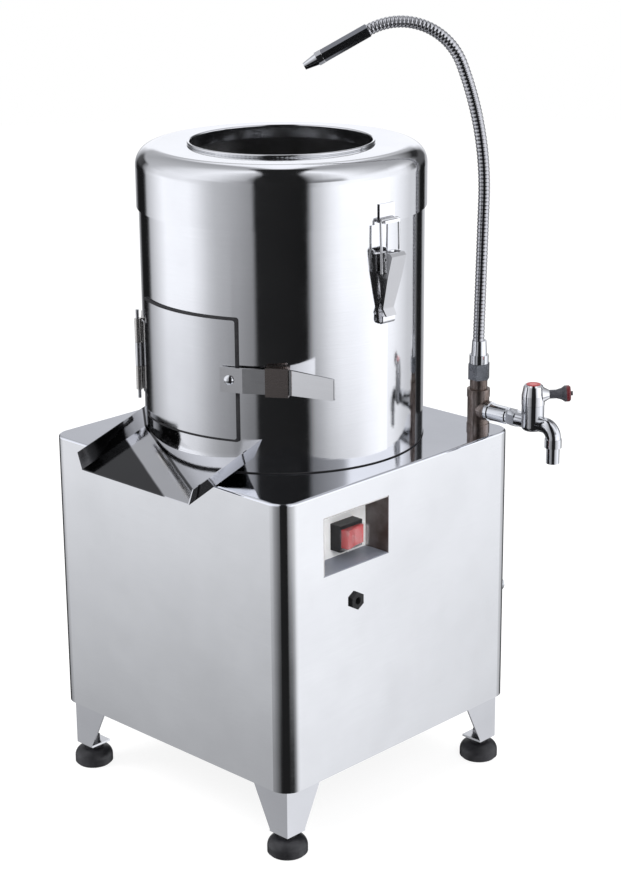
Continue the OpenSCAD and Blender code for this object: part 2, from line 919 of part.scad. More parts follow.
module door_edge_prism(inset) {
  front_prism(door_half_w - inset, door_z + inset, door_h - 2 * inset, door_corner_r);
}

// The latch screw's own frame: Z points out of the door, zero where the door's inside is
module on_bar_screw() {
  translate([bar_pivot_at[0], bar_pivot_at[1], bar_mid_z]) rotate([0, 90, bar_head_1 - 90])
    translate([0, 0, door_in_r - bar_r]) children();
}

module discharge_door() {
  color("lightgray") placed() difference() {
    on_drum_axis() intersection() {
      translate([0, 0, door_z]) tube(door_out_r, door_in_r, door_h);
      door_edge_prism(edging_w);
    }
    on_bar_screw() cylinder(r = bar_screw_r + seat_gap, h = 4 * door_t, center = true);
  }
}

module door_edging() {
  color("black") placed() on_drum_axis() intersection() {
    translate([0, 0, door_z]) tube(door_out_r, door_in_r, door_h);
    difference() {
      door_edge_prism(0);
      door_edge_prism(edging_w - seat_gap);
    }
  }
}

module door_hinge_leaf() {
  web_x = leaf_r + 0.1 - hinge_r;
  color("gray") placed() difference() {
    union() {
      on_drum_axis(hinge_z)
        sector(leaf_r + leaf_t, leaf_r, hinge_a + door_leaf_near, hinge_a + door_leaf_far, hinge_len);
      translate([hinge_x, hinge_y, hinge_z + knuckle_len + free_gap]) rotate(hinge_a) {
        cylinder(r = knuckle_r, h = knuckle_len);
        translate([web_x, 0, 0]) cube([2 * leaf_t, 2.05 * knuckle_r, knuckle_len]);
      }
    }
    pin_bore();
  }
}

module latch_screw() {
  bar_face = bar_r - door_in_r + bar_t / 2;
  color("dimgray") placed() {
    difference() {
      on_bar_screw() cylinder(r = bar_boss_r, h = bar_face - bar_t - bar_play);
      on_drum_axis(bar_low) cylinder(r = leaf_r, h = bar_h, $fn = fine);
    }
    on_bar_screw() {
      translate([0, 0, bar_play]) cylinder(r = bar_screw_r, h = bar_face + past);
      intersection() {
        translate([0, 0, bar_face + bar_play]) cylinder(r = bar_screw_head_r, h = bar_screw_head_h);
        translate([0, 0, bar_face + bar_play + bar_screw_head_h - bar_screw_dome_r]) sphere(r = bar_screw_dome_r);
      }
    }
  }
}

module bar_stretch(at, head, len) {
  translate([at[0], at[1]]) rotate(head) {
    translate([0, -bar_t / 2]) square([len, bar_t]);
    translate([len, 0]) circle(r = bar_t / 2);
  }
}

// The bar seen square to its handle, from the start of the handle
module bar_side_outline() {
  start = -2 * bar_lengths[0] - bar_lengths[1];
  reach = bar_lengths[2] - bar_corner_r;
  in = bar_taper + bar_corner_r;
  polygon([[start, 0], [0, 0], [reach, bar_taper], [reach, bar_h - bar_taper], [0, bar_h], [start, bar_h]]);
  translate([reach - past, in]) square([bar_corner_r + past, bar_h - 2 * in]);
  for (z = [in, bar_h - in]) translate([reach, z]) circle(r = bar_corner_r);
}

module latch_bar() {
  color("silver") placed() difference() {
    intersection() {
      translate([0, 0, bar_low]) linear_extrude(bar_h) {
        bar_stretch(bar_p0, bar_head_1, bar_lengths[0]);
        bar_stretch(bar_p1, bar_head_2, bar_lengths[1]);
        bar_stretch(bar_p2, bar_head_3, bar_lengths[2] - bar_t / 2);
      }
      translate([bar_p2[0], bar_p2[1], bar_low]) rotate(bar_head_3) side_view(drum_r) bar_side_outline();
    }
    on_bar_screw() cylinder(r = bar_screw_r + seat_gap, h = 12 * door_t, center = true);
  }
}

module on_keeper(z) {
  translate([bar_p1[0], bar_p1[1], z]) rotate(bar_head_2) translate([keeper_mid - keeper_len / 2, 0, 0])
    children();
}

module latch_keeper() {
  front = bar_t / 2 + keeper_gap + keeper_t;
  low = bar_low - free_gap - keeper_t;
  high = bar_low + bar_h + keeper_rise;
  color("dimgray") placed() {
    difference() {
      on_keeper(low) translate([0, -front, 0]) {
        cube([keeper_len, keeper_t, high - low]);
        cube([keeper_len, keeper_reach, keeper_t]);
      }
      on_drum_axis(low - past) cylinder(r = drum_leaf_r, h = high - low, $fn = fine);
    }
    intersection() {
      on_drum_axis(low) tube(drum_leaf_r + keeper_t, drum_leaf_r, high - low, $fn = fine);
      on_keeper(low) cube([keeper_len, keeper_reach, high - low]);
    }
  }
}

// ---------- toggle latches ----------

module on_toggle(half_turns) {
  placed() on_drum_axis() rotate(toggle_a + 180 * half_turns) children();
}

// Half a ring and a short upright: the foot of the base, turned out and up
module toggle_hook_profile() {
  inner_r = toggle_hook_r - toggle_plate_t;
  difference() {
    union() {
      translate([inner_r, 0]) circle(r = toggle_hook_r);
      translate([inner_r, 0]) square([toggle_hook_r, toggle_hook_h]);
    }
    translate([inner_r, 0]) circle(r = inner_r);
    translate([-toggle_hook_r, 0]) square([toggle_hook_r + 2 * inner_r, toggle_hook_h + past]);
  }
}

module toggle_base() {
  top_low = toggle_top - 12;
  difference() {
    union() {
      translate([drum_in_r, 0, 0]) rotate([90, 0, 90]) linear_extrude(toggle_plate_x - drum_in_r)
        polygon([[-toggle_low_half, toggle_low], [toggle_low_half, toggle_low], [toggle_top_half, top_low],
                 [toggle_top_half, toggle_top], [-toggle_top_half, toggle_top], [-toggle_top_half, top_low]]);
      side_view(2 * toggle_low_half) translate([toggle_plate_x, toggle_low + toggle_hook_r])
        toggle_hook_profile();
      both_sides([0, 1, 0]) translate([0, ear_half - ear_t / 2, lever_z]) {
        translate([lever_x, 0, 0]) across(ear_r, ear_t);
        translate([(drum_r + lever_x) / 2, 0, 0]) cube([lever_x - drum_r, ear_t, 2 * ear_r], center = true);
      }
      translate([lever_x, 0, lever_z]) across(lever_pin_r, 2 * lever_pin_half);
    }
    translate([0, 0, toggle_low - past])
      cylinder(r = drum_leaf_r, h = toggle_top - toggle_low + 2 * past, $fn = fine);
  }
}

module toggle_bases() {
  color("silver") {
    on_toggle(0) toggle_base();
    on_toggle(1) toggle_base();
  }
}

// The lever's outline seen square to its face, each side moved in by inset
module lever_front_view(inset) {
  wide = lever_w / 2 - inset;
  narrow = lever_low_half - inset;
  high = lever_z + 2 * lever_rise;
  bend_z = lever_z - lever_straight;
  low = lever_z - lever_drop - lever_rise - past;
  translate([drum_r, 0, 0]) rotate([90, 0, 90]) linear_extrude(4 * lever_rise)
    polygon([[-wide, high], [-wide, bend_z], [-narrow, low], [narrow, low], [wide, bend_z], [wide, high]]);
}

module toggle_lever() {
  top = lever_z + lever_rise;
  low = lever_z - lever_drop;
  back = lever_back_x;
  front = lever_low_front_x;
  high = lever_top_front_x;
  b = lever_bevel;
  w = lever_wall;
  difference() {
    intersection() {
      union() {
        side_view(lever_w)
          polygon([[back, top - 6], [back + 3, top], [high - b, top],
                   [high, top - b], [front, low], [back, low]]);
        side_view(lever_w)
          polygon([[front - w, low], [front, low + w], [front + 6, low - 8], [front + 4, low - 9]]);
      }
      lever_front_view(0);
    }
    intersection() {
      side_view(lever_w)
        polygon([[back - past, top + past], [high - b - w, top + past], [high - b - w, top - w],
                 [high - w - 0.4, top - b - w], [front - w, low - past / 2], [back - past, low - past / 2]]);
      lever_front_view(w);
    }
    translate([lever_x, 0, lever_z]) across(lever_pin_r + seat_gap, 2 * lever_w);
    translate([bail_x, 0, bail_z]) across(bail_wire_r + seat_gap, 2 * lever_w);
  }
}

module toggle_lever_right() {
  color("silver") on_toggle(0) toggle_lever();
}

module toggle_lever_left() {
  color("silver") on_toggle(1) toggle_lever();
}

module toggle_bail() {
  leg = bail_len - bail_corner_r;
  translate([bail_x, 0, bail_z]) rotate([0, bail_tilt, 0]) {
    both_sides([0, 1, 0]) translate([0, bail_half_w, 0]) {
      rotate([90, 0, 0]) cylinder(r = bail_wire_r, h = bail_half_w - bail_pin_in);
      sphere(r = bail_wire_r);
      cylinder(r = bail_wire_r, h = leg);
      translate([0, 0, leg]) rotate(-90) bend(bail_corner_r, 90) circle(r = bail_wire_r);
    }
    translate([0, 0, bail_len]) across(bail_wire_r, 2 * (bail_half_w - bail_corner_r));
  }
}

module toggle_bail_right() {
  color("gray") on_toggle(0) toggle_bail();
}

module toggle_bail_left() {
  color("gray") on_toggle(1) toggle_bail();
}

// ---------- lid ----------

module lid_half(r, h, shoulder) {
  square([r, h - shoulder]);
  square([r - shoulder, h]);
  translate([r - shoulder, h - shoulder]) circle(r = shoulder);
}

module lid() {
  stop_low = drum_top + free_gap - seam_z;
  color("lightgray") placed() on_drum_axis(seam_z) rotate_extrude() difference() {
    union() {
      difference() {
        lid_half(lid_r, lid_h, lid_shoulder_r);
        lid_half(lid_in_r, lid_h - sheet, lid_shoulder_r - sheet);
      }
      translate([lid_in_r - stop_w, stop_low]) square([stop_w + sheet / 2, stop_t]);
    }
    translate([-past, -past]) square([collar_r + seat_gap + past, lid_h + 2 * past]);
  }
}

module mouth_rim() {
  color("silver") placed() on_drum_axis() rotate_extrude() {
    translate([collar_r - collar_t, collar_low]) square([collar_t, lid_top + rim_bead_r - collar_low]);
    translate([mouth_r + rim_bead_r, lid_top + rim_bead_r]) circle(r = rim_bead_r);
  }
}

module lid_keeper() {
  width = 2 * lid_keeper_half;
  low = hook_z - hook_t;
  difference() {
    translate([lid_in_r, -lid_keeper_half, low]) {
      cube([lid_keeper_x + lid_keeper_t - lid_in_r, width, lid_keeper_top - low]);
      cube([hook_x + lid_keeper_t - lid_in_r, width, hook_t]);
      translate([hook_x - lid_in_r, 0, 0]) cube([lid_keeper_t, width, hook_t + hook_lip_h]);
    }
    translate([0, 0, seam_z]) cylinder(r = lid_keeper_x, h = lid_h, $fn = fine);
  }
}

module lid_keepers() {
  color("silver") {
    on_toggle(0) lid_keeper();
    on_toggle(1) lid_keeper();
  }
}

// ---------- turntable and drive ----------

module ridge() {
  translate([ridge_from, 0, disc_z + ridge_rise - ridge_r]) {
    rotate([0, 90, 0]) cylinder(r = ridge_r, h = ridge_to - ridge_from);
    sphere(r = ridge_r);
    translate([ridge_to - ridge_from, 0, 0]) sphere(r = ridge_r);
  }
}

module abrasive_disc() {
  color("darkslategray") placed() on_drum_axis() difference() {
    union() {
      translate([0, 0, disc_low]) cylinder(r = disc_r, h = disc_z - disc_low);
      translate([0, 0, hub_low]) cylinder(r = hub_r, h = disc_low - hub_low + past);
      translate([0, 0, skirt_low]) tube(skirt_r, skirt_r - skirt_t, disc_low - skirt_low + past);
      for (i = [0:disc_ridges - 1]) rotate(45 + i * 360 / disc_ridges) ridge();
    }
    translate([0, 0, hub_low - past])
      cylinder(r = shaft_r + seat_gap, h = shaft_top + seat_gap - hub_low + past);
  }
}

module drive_shaft() {
  color("lightgray") placed() on_drum_axis() {
    translate([0, 0, shaft_low]) cylinder(r = shaft_r, h = shaft_top - shaft_low);
    translate([0, 0, belt_z - pulley_h / 2 - shaft_nut_h])
      cylinder(r = shaft_nut_r, h = shaft_nut_h, $fn = 6);
  }
}

module pulley_rim(groove_r, inner_r) {
  translate([0, 0, -pulley_h / 2]) tube(groove_r, inner_r, pulley_h);
  for (z = [-pulley_h / 2, pulley_h / 2 - pulley_flange_t])
    translate([0, 0, z]) tube(groove_r + pulley_flange_h, inner_r, pulley_flange_t);
}

module driven_pulley() {
  rim_in_r = driven_groove_r - pulley_rim_t;
  color("gray") placed() on_drum_axis(belt_z) {
    pulley_rim(driven_groove_r, rim_in_r);
    translate([0, 0, -pulley_h / 2]) tube(pulley_hub_r, bearing_bore_r, pulley_h);
    translate([0, 0, -pulley_web_t / 2]) difference() {
      tube(rim_in_r + past, pulley_hub_r - past, pulley_web_t);
      for (i = [0:5]) rotate(60 * i) translate([(rim_in_r + pulley_hub_r) / 2, 0, -past])
        cylinder(r = pulley_hole_r, h = pulley_web_t + 2 * past);
    }
  }
}

module at_bolts(at) {
  for (i = [0:3]) rotate(45 + 90 * i) translate([at, 0, 0]) children();
}

module bearing_housing() {
  seat_r = bearing_r + seat_gap;
  color("darkgray") placed() on_drum_axis() difference() {
    union() {
      translate([0, 0, housing_low]) cylinder(r = housing_boss_r, h = deck_low - housing_low);
      translate([0, 0, deck_low - housing_flange_t]) cylinder(r = housing_flange_r, h = housing_flange_t);
      translate([0, 0, deck_low - past]) cylinder(r = housing_neck_r, h = housing_neck_top - deck_low + past);
    }
    translate([0, 0, housing_low - past])
      cylinder(r = housing_bore_r, h = housing_neck_top - housing_low + 2 * past);
    translate([0, 0, housing_low - past])
      cylinder(r = seat_r, h = lower_bearing_z + bearing_h - housing_low + past);
    translate([0, 0, upper_bearing_z]) cylinder(r = seat_r, h = housing_neck_top - upper_bearing_z + past);
    translate([0, 0, deck_low - housing_flange_t - past]) at_bolts(housing_bolt_at)
      cylinder(r = bolt_r + seat_gap, h = housing_flange_t + 2 * past);
  }
}

module shaft_bearings() {
  color("lightgray") placed() on_drum_axis()
    for (z = [lower_bearing_z, upper_bearing_z])
      translate([0, 0, z]) tube(bearing_r, bearing_bore_r, bearing_h);
}

module shaft_seal() {
  color("black") placed() on_drum_axis(seal_z) tube(bearing_r, bearing_bore_r, seal_h);
}

module flange_stud() {
  low = -housing_flange_t - bolt_head_h;
  translate([0, 0, low]) cylinder(r = bolt_head_r, h = bolt_head_h, $fn = 6);
  translate([0, 0, low - bolt_over]) cylinder(r = bolt_r, h = bolt_over - low);
}

module motor_bolt() {
  cylinder(r = bolt_head_r, h = bolt_head_h, $fn = 6);
  translate([0, 0, -mount_t - motor_bolt_len]) cylinder(r = bolt_r, h = mount_t + motor_bolt_len + past);
}

module frame_bolts() {
  color("dimgray") placed() {
    on_drum_axis(deck_low) at_bolts(housing_bolt_at) flange_stud();
    on_motor_axis(mount_top) at_bolts(motor_bolt_at) motor_bolt();
  }
}

module motor() {
  cavity_h = motor_h - 2 * motor_end_t;
  color("steelblue") placed() on_motor_axis(motor_low) difference() {
    union() {
      cylinder(r = motor_r, h = motor_h);
      for (i = [0:motor_fins - 1]) rotate(360 / motor_fins * (i + 0.5))
        translate([motor_r - past, -fin_t / 2, motor_end_t]) cube([fin_rise + past, fin_t, cavity_h]);
      translate([motor_r - fin_rise, -terminal_box[1] / 2, (motor_h - terminal_box[2]) / 2])
        cube(terminal_box);
    }
    translate([0, 0, motor_end_t]) cylinder(r = motor_cavity_r, h = cavity_h);
    translate([0, 0, motor_bore_low]) cylinder(r = rotor_shaft_r + seat_gap, h = motor_h);
    translate([0, 0, motor_h - motor_bolt_len - seat_gap]) at_bolts(motor_bolt_at)
      cylinder(r = bolt_r + seat_gap, h = motor_bolt_len + past);
  }
}

module motor_rotor() {
  low = motor_low + motor_bore_low + free_gap;
  core_low = motor_low + motor_end_t + rotor_core_in;
  color("gray") placed() {
    on_motor_axis(low) cylinder(r = rotor_shaft_r, h = belt_z + pulley_h / 2 + rotor_over - low);
    on_motor_axis(core_low) cylinder(r = rotor_core_r, h = motor_h - 2 * motor_end_t - 2 * rotor_core_in);
  }
}

module motor_pulley() {
  color("gray") placed() on_motor_axis(belt_z) pulley_rim(motor_groove_r, rotor_shaft_r + seat_gap);
}

module motor_mount() {
  wall_x = -inner_w / 2;
  color("darkgray") placed() difference() {
    translate([wall_x, motor_y - mount_half, mount_low]) {
      cube([motor_x + mount_half - wall_x, 2 * mount_half, mount_t]);
      cube([mount_t, 2 * mount_half, mount_flange_h]);
    }
    on_motor_axis(mount_low - past) {
      cylinder(r = rotor_shaft_r + 3, h = mount_t + 2 * past);
      at_bolts(motor_bolt_at) cylinder(r = bolt_r + seat_gap, h = mount_t + 2 * past);
    }
  }
}

// A flat belt round both pulleys: two arcs, and two straight runs that reach a little into them
module drive_belt() {
  touch = acos((driven_belt_r - motor_belt_r) / belt_centres);
  run = belt_centres * sin(touch);
  color("black") placed() on_drum_axis(belt_z - belt_w / 2) rotate(motor_a) {
    sector(driven_belt_r + belt_t, driven_belt_r, touch, 360 - touch, belt_w);
    translate([belt_centres, 0, 0]) sector(motor_belt_r + belt_t, motor_belt_r, -touch, touch, belt_w);
    both_sides([0, 1, 0]) rotate(touch) translate([driven_belt_r + seat_gap, -run - past, 0])
      cube([belt_t - 2 * seat_gap, run + 2 * past, belt_w]);
  }
}

// ---------- switch ----------

module on_switch() {
  placed() translate([recess_back_x, switch_y, switch_z]) children();
}

module block(from, to, w, h) {
  translate([from, -w / 2, -h / 2]) cube([to - from, w, h]);
}

module switch_body() {
  color("black") on_switch() difference() {
    union() {
      block(0, switch_rise, switch_w, switch_h);
      block(-switch_behind, past, switch_in_w, switch_in_h);
    }
    block(switch_floor, switch_rise + past, switch_in_w, switch_in_h);
    translate([rocker_x, 0, 0])
      cylinder(r = rocker_pin_r + seat_gap, h = switch_h - switch_lip, center = true);
  }
}

module switch_rocker() {
  color("red") on_switch() translate([rocker_x, 0, 0]) {
    rotate(rocker_travel / 2) linear_extrude(2 * rocker_half_h, center = true)
      polygon([[-rocker_sink, -rocker_half], [rocker_rise, -rocker_half], [rocker_rise - rocker_dip, 0],
               [rocker_rise, rocker_half], [-rocker_sink, rocker_half]]);
    cylinder(r = rocker_pin_r, h = switch_h - switch_lip - 2 * seat_gap, center = true);
  }
}

module switch_cover() {
  color("whitesmoke") on_switch() difference() {
    block(switch_rise, cover_rise, switch_w, 2 * cover_half_h);
    block(switch_rise - past, cover_rise - cover_wall, switch_w - 2 * cover_wall,
          2 * (cover_half_h - cover_wall));
  }
}

module on_gland() {
  placed() translate([face_x, gland_y, gland_z]) rotate([0, 90, 0]) children();
}

module cable_gland() {
  color("black") on_gland() difference() {
    union() {
      cylinder(r = gland_hex_r, h = gland_hex_h, $fn = 6);
      translate([0, 0, -gland_len]) cylinder(r = gland_thread_r, h = gland_len + past);
    }
    translate([0, 0, -gland_len - past]) cylinder(r = gland_bore_r, h = 2 * gland_len);
  }
}

module gland_nut() {
  color("black") on_gland() translate([0, 0, -sheet - gland_nut_h]) difference() {
    cylinder(r = gland_nut_r, h = gland_nut_h, $fn = 6);
    translate([0, 0, -past]) cylinder(r = gland_thread_r + seat_gap, h = gland_nut_h + 2 * past);
  }
}

// ---------- water ----------

module on_tee(z = 0) {
  placed() translate([tee_x, tee_y, z]) children();
}

// At the height of the tee's branch, with Z along +X
module on_branch(x) {
  placed() translate([x, tee_y, branch_z]) rotate([0, 90, 0]) children();
}

module branch_rod(from, to, r) {
  on_branch(from) cylinder(r = r, h = to - from);
}

module tee_fitting() {
  color("rosybrown") difference() {
    union() {
      on_tee(deck_z) cylinder(r = tee_collar_r, h = tee_ring_h);
      on_tee(deck_z) cylinder(r = tee_r, h = tee_collar_low - deck_z + past);
      on_tee(tee_collar_low) cylinder(r = tee_collar_r, h = tee_collar_high - tee_collar_low);
      on_tee(tee_collar_high - past) cylinder(r = tee_neck_r, h = tee_top - tee_collar_high + past);
      branch_rod(tee_x, tee_boss_x, tee_boss_r);
    }
    on_tee(deck_z - past) cylinder(r = tee_bore_r, h = tee_top - deck_z + 2 * past);
    branch_rod(tee_x, tee_boss_x, tee_bore_r);
    branch_rod(branch_x, tee_boss_x + past, branch_r + seat_gap);
  }
}

module inlet_elbow() {
  drop = deck_z - inlet_z - inlet_bend_r;
  inner_r = inlet_r - pipe_wall;
  color("silver") {
    on_tee(deck_z) rotate([180, 0, 90]) {
      tube(inlet_r, inner_r, drop);
      translate([0, 0, drop]) {
        bend(inlet_bend_r, 90) ring(inlet_r, inner_r);
        after_bend(inlet_bend_r, 90) tube(inlet_r, inner_r, back_y + inlet_out - tee_y - inlet_bend_r);
      }
    }
    wall_ring(tee_x, inlet_z, inlet_r);
    on_tee(deck_low - locknut_h) difference() {
      cylinder(r = locknut_r, h = locknut_h, $fn = 6);
      translate([0, 0, -past]) cylinder(r = inlet_r - pipe_wall / 2, h = locknut_h + 2 * past);
    }
  }
}

module tap_half() {
  body_h = tap_body_top - tap_body_low;
  translate([0, tap_dome_r]) square([tap_body_r, body_h - tap_dome_r]);
  square([tap_body_r - tap_dome_r, body_h]);
  translate([tap_body_r - tap_dome_r, tap_dome_r]) circle(r = tap_dome_r);
}

module on_tap(z) {
  placed() translate([tap_x, tee_y, z]) children();
}

module tap_body() {
  color("silver") {
    difference() {
      union() {
        branch_rod(branch_x, tap_groove_from, branch_r);
        branch_rod(tap_flange_from, tap_flange_from + tap_flange_t, tap_flange_r);
        on_branch(tap_nut_from) cylinder(r = tap_nut_r, h = tap_nut_to - tap_nut_from, $fn = 6);
        branch_rod(tap_groove_from - past, tap_x, tap_inlet_r);
        on_tap(tap_body_low) rotate_extrude() tap_half();
        branch_rod(tap_x, spout_from, elbow_r);
      }
      branch_rod(branch_x - past, spout_from + past, spout_bore_r);
      on_tap(tap_stem_low) cylinder(r = tap_stem_r + seat_gap, h = cap_top - tap_stem_low);
    }
    on_branch(spout_from) bend(spout_bend_r, 90) ring(elbow_r, spout_bore_r);
  }
}

module tap_spout_end() {
  color("gray") placed() translate([spout_x, tee_y, spout_low]) difference() {
    union() {
      translate([0, 0, -outlet_len]) cylinder(r = spout_r, h = outlet_len);
      translate([0, 0, -outlet_collar_h]) cylinder(r = outlet_collar_r, h = outlet_collar_h);
    }
    translate([0, 0, -outlet_len - past]) cylinder(r = spout_bore_r, h = outlet_len + 2 * past);
  }
}

module cap_half() {
  h = cap_top - cap_low;
  b = cap_bevel;
  polygon([[0, 0], [cap_r, 0], [cap_r, h - cap_taper_h], [cap_top_r, h - b], [cap_top_r - b, h], [0, h]]);
}

// Along the handle: Z points out from the spindle
module on_handle() {
  on_tap(handle_z) rotate([0, 90 - handle_tilt, handle_turn]) children();
}

module tap_cap() {
  color("silver") difference() {
    union() {
      on_tap(cap_low) rotate_extrude() cap_half();
      on_tap(tap_stem_low + past) cylinder(r = tap_stem_r, h = cap_low - tap_stem_low);
      on_handle() translate([0, 0, cap_horn_from])
        cylinder(r1 = cap_horn_r, r2 = handle_neck_r, h = handle_from - cap_horn_from);
    }
    on_tap(cap_top - cap_disc_in - seat_gap) cylinder(r = cap_disc_r + seat_gap, h = cap_disc_in + past);
    on_handle() translate([0, 0, handle_root_from - seat_gap])
      cylinder(r = handle_root_r + seat_gap, h = handle_from);
  }
  color("red") on_tap(cap_top - cap_disc_in) cylinder(r = cap_disc_r, h = cap_disc_in + cap_disc_out);
}

module tap_handle() {
  flare_low = handle_end - handle_flare_h;
  b = handle_bevel;
  start = handle_from + free_gap;
  color("dimgray") on_handle() {
    translate([0, 0, handle_root_from])
      cylinder(r = handle_root_r, h = start - handle_root_from + past);
    rotate_extrude()
      polygon([[0, start], [handle_neck_r, start], [handle_neck_r, (start + flare_low) / 2],
               [handle_neck_r + b, flare_low - b], [handle_flare_r, flare_low + b],
               [handle_flare_r, handle_end - b], [handle_flare_r - b, handle_end], [0, handle_end]]);
    translate([0, 0, handle_end - past]) cylinder(r = handle_nub_r, h = handle_nub_h + past);
  }
}

module neck_nut() {
  color("slategray") on_tee(tee_top) difference() {
    cylinder(r = neck_nut_r, h = neck_nut_h, $fn = 6);
    translate([0, 0, -past]) cylinder(r = neck_nut_bore_r + seat_gap, h = neck_nut_h + 2 * past);
  }
}

// The neck's own frame: Z follows its straight stretch and X points to the drum
module on_neck() {
  on_tee(neck_z) rotate(neck_dir) translate([neck_shift, 0, 0]) rotate([0, -neck_lean, 0]) children();
}

module after_neck() {
  on_neck() translate([0, 0, neck_straight]) after_bend(neck_bend_1, neck_turn_1)
    translate([0, 0, neck_middle]) after_bend(neck_bend_2, neck_turn_2) children();
}

module neck_ferrule() {
  color("silver") difference() {
    union() {
      on_tee(tee_top + free_gap) cylinder(r = neck_nut_bore_r, h = neck_nut_h + past);
      on_tee(ferrule_low) cylinder(r = ferrule_r, h = ferrule_h);
      on_tee(ferrule_low + ferrule_h)
        cylinder(r1 = ferrule_cone_low_r, r2 = ferrule_cone_top_r, h = ferrule_cone_h);
    }
    on_tee(tee_top) cylinder(r = neck_bore_r, h = neck_z - tee_top + past);
    on_neck() cylinder(r = neck_r + seat_gap, h = 2 * ferrule_cone_h);
  }
}

module neck_tube() {
  color("silver") on_neck() {
    tube(neck_r, neck_bore_r, neck_straight);
    translate([0, 0, neck_straight]) {
      bend(neck_bend_1, neck_turn_1) ring(neck_r, neck_bore_r);
      after_bend(neck_bend_1, neck_turn_1) {
        translate([0, 0, -past]) tube(neck_r - seat_gap, neck_bore_r + seat_gap, neck_middle + 2 * past);
        translate([0, 0, neck_middle]) bend(neck_bend_2, neck_turn_2) ring(neck_r, neck_bore_r);
      }
    }
  }
}

module spray_grip() {
  color("gray") after_neck() difference() {
    cylinder(r = grip_r, h = grip_len, $fn = 6);
    translate([0, 0, -past]) cylinder(r = neck_bore_r, h = grip_len + 2 * past);
    translate([0, 0, grip_len - tip_stem_h - free_gap])
      cylinder(r = tip_stem_r + seat_gap, h = 2 * tip_stem_h);
  }
}

module spray_tip() {
  color("silver") after_neck() translate([0, 0, grip_len + free_gap]) difference() {
    union() {
      translate([0, 0, -tip_stem_h]) cylinder(r = tip_stem_r, h = tip_stem_h + past);
      cylinder(r = tip_collar_r, h = tip_collar_h, $fn = 6);
      translate([0, 0, tip_collar_h]) cylinder(r1 = tip_cone_r, r2 = tip_end_r, h = tip_cone_h);
    }
    translate([0, 0, -tip_stem_h - past])
      cylinder(r = tip_bore_r, h = tip_stem_h + tip_collar_h + tip_cone_h + 2 * past);
  }
}

cabinet_shell();
deck_plate();
rear_cover();
rear_cover_screws();
switch_recess();
legs();
foot_nuts();
foot_front_left();
foot_front_right();
foot_rear_left();
foot_rear_right();
drum_shell();
drum_liner();
drum_pan();
drain_pipe();
discharge_chute();
latch_keeper();
drum_hinge_leaf();
toggle_bases();
lid();
mouth_rim();
lid_keepers();
discharge_door();
door_edging();
door_hinge_leaf();
hinge_pin();
latch_screw();
latch_bar();
toggle_lever_right();
toggle_lever_left();
toggle_bail_right();
toggle_bail_left();
abrasive_disc();
drive_shaft();
driven_pulley();
bearing_housing();
shaft_bearings();
shaft_seal();
frame_bolts();
motor();
motor_rotor();
motor_pulley();
motor_mount();
drive_belt();
switch_body();
switch_rocker();
switch_cover();
cable_gland();
gland_nut();
tee_fitting();
inlet_elbow();
tap_body();
tap_spout_end();
tap_handle();
tap_cap();
neck_nut();
neck_ferrule();
neck_tube();
spray_grip();
spray_tip();
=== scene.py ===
import math

import bpy
import numpy as np
from mathutils import Matrix, Vector


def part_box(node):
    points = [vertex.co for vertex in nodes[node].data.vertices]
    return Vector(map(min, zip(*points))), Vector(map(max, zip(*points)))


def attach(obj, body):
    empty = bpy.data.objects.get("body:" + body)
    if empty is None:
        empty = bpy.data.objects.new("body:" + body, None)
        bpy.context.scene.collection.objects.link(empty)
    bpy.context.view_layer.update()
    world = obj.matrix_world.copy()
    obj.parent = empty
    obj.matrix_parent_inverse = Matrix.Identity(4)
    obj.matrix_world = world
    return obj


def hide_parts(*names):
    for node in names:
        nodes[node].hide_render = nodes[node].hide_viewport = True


mm = 0.001
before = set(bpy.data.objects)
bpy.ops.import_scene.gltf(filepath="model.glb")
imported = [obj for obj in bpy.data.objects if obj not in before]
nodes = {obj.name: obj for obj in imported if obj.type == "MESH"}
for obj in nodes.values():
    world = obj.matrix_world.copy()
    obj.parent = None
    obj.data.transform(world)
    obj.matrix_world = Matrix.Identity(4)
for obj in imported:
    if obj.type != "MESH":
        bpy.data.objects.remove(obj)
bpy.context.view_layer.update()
print("frame loaded:", len(nodes), "nodes")

# places on the machine are counted from the cabinet's middle and the floor
cabinetLow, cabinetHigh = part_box("cabinet_shell")
machineOrigin = np.array([(cabinetLow[0] + cabinetHigh[0]) / 2, (cabinetLow[1] + cabinetHigh[1]) / 2, 0.0])


def onMachine(place):
    # millimetres on the machine -> metres in the scene
    return machineOrigin + np.array(place) * mm


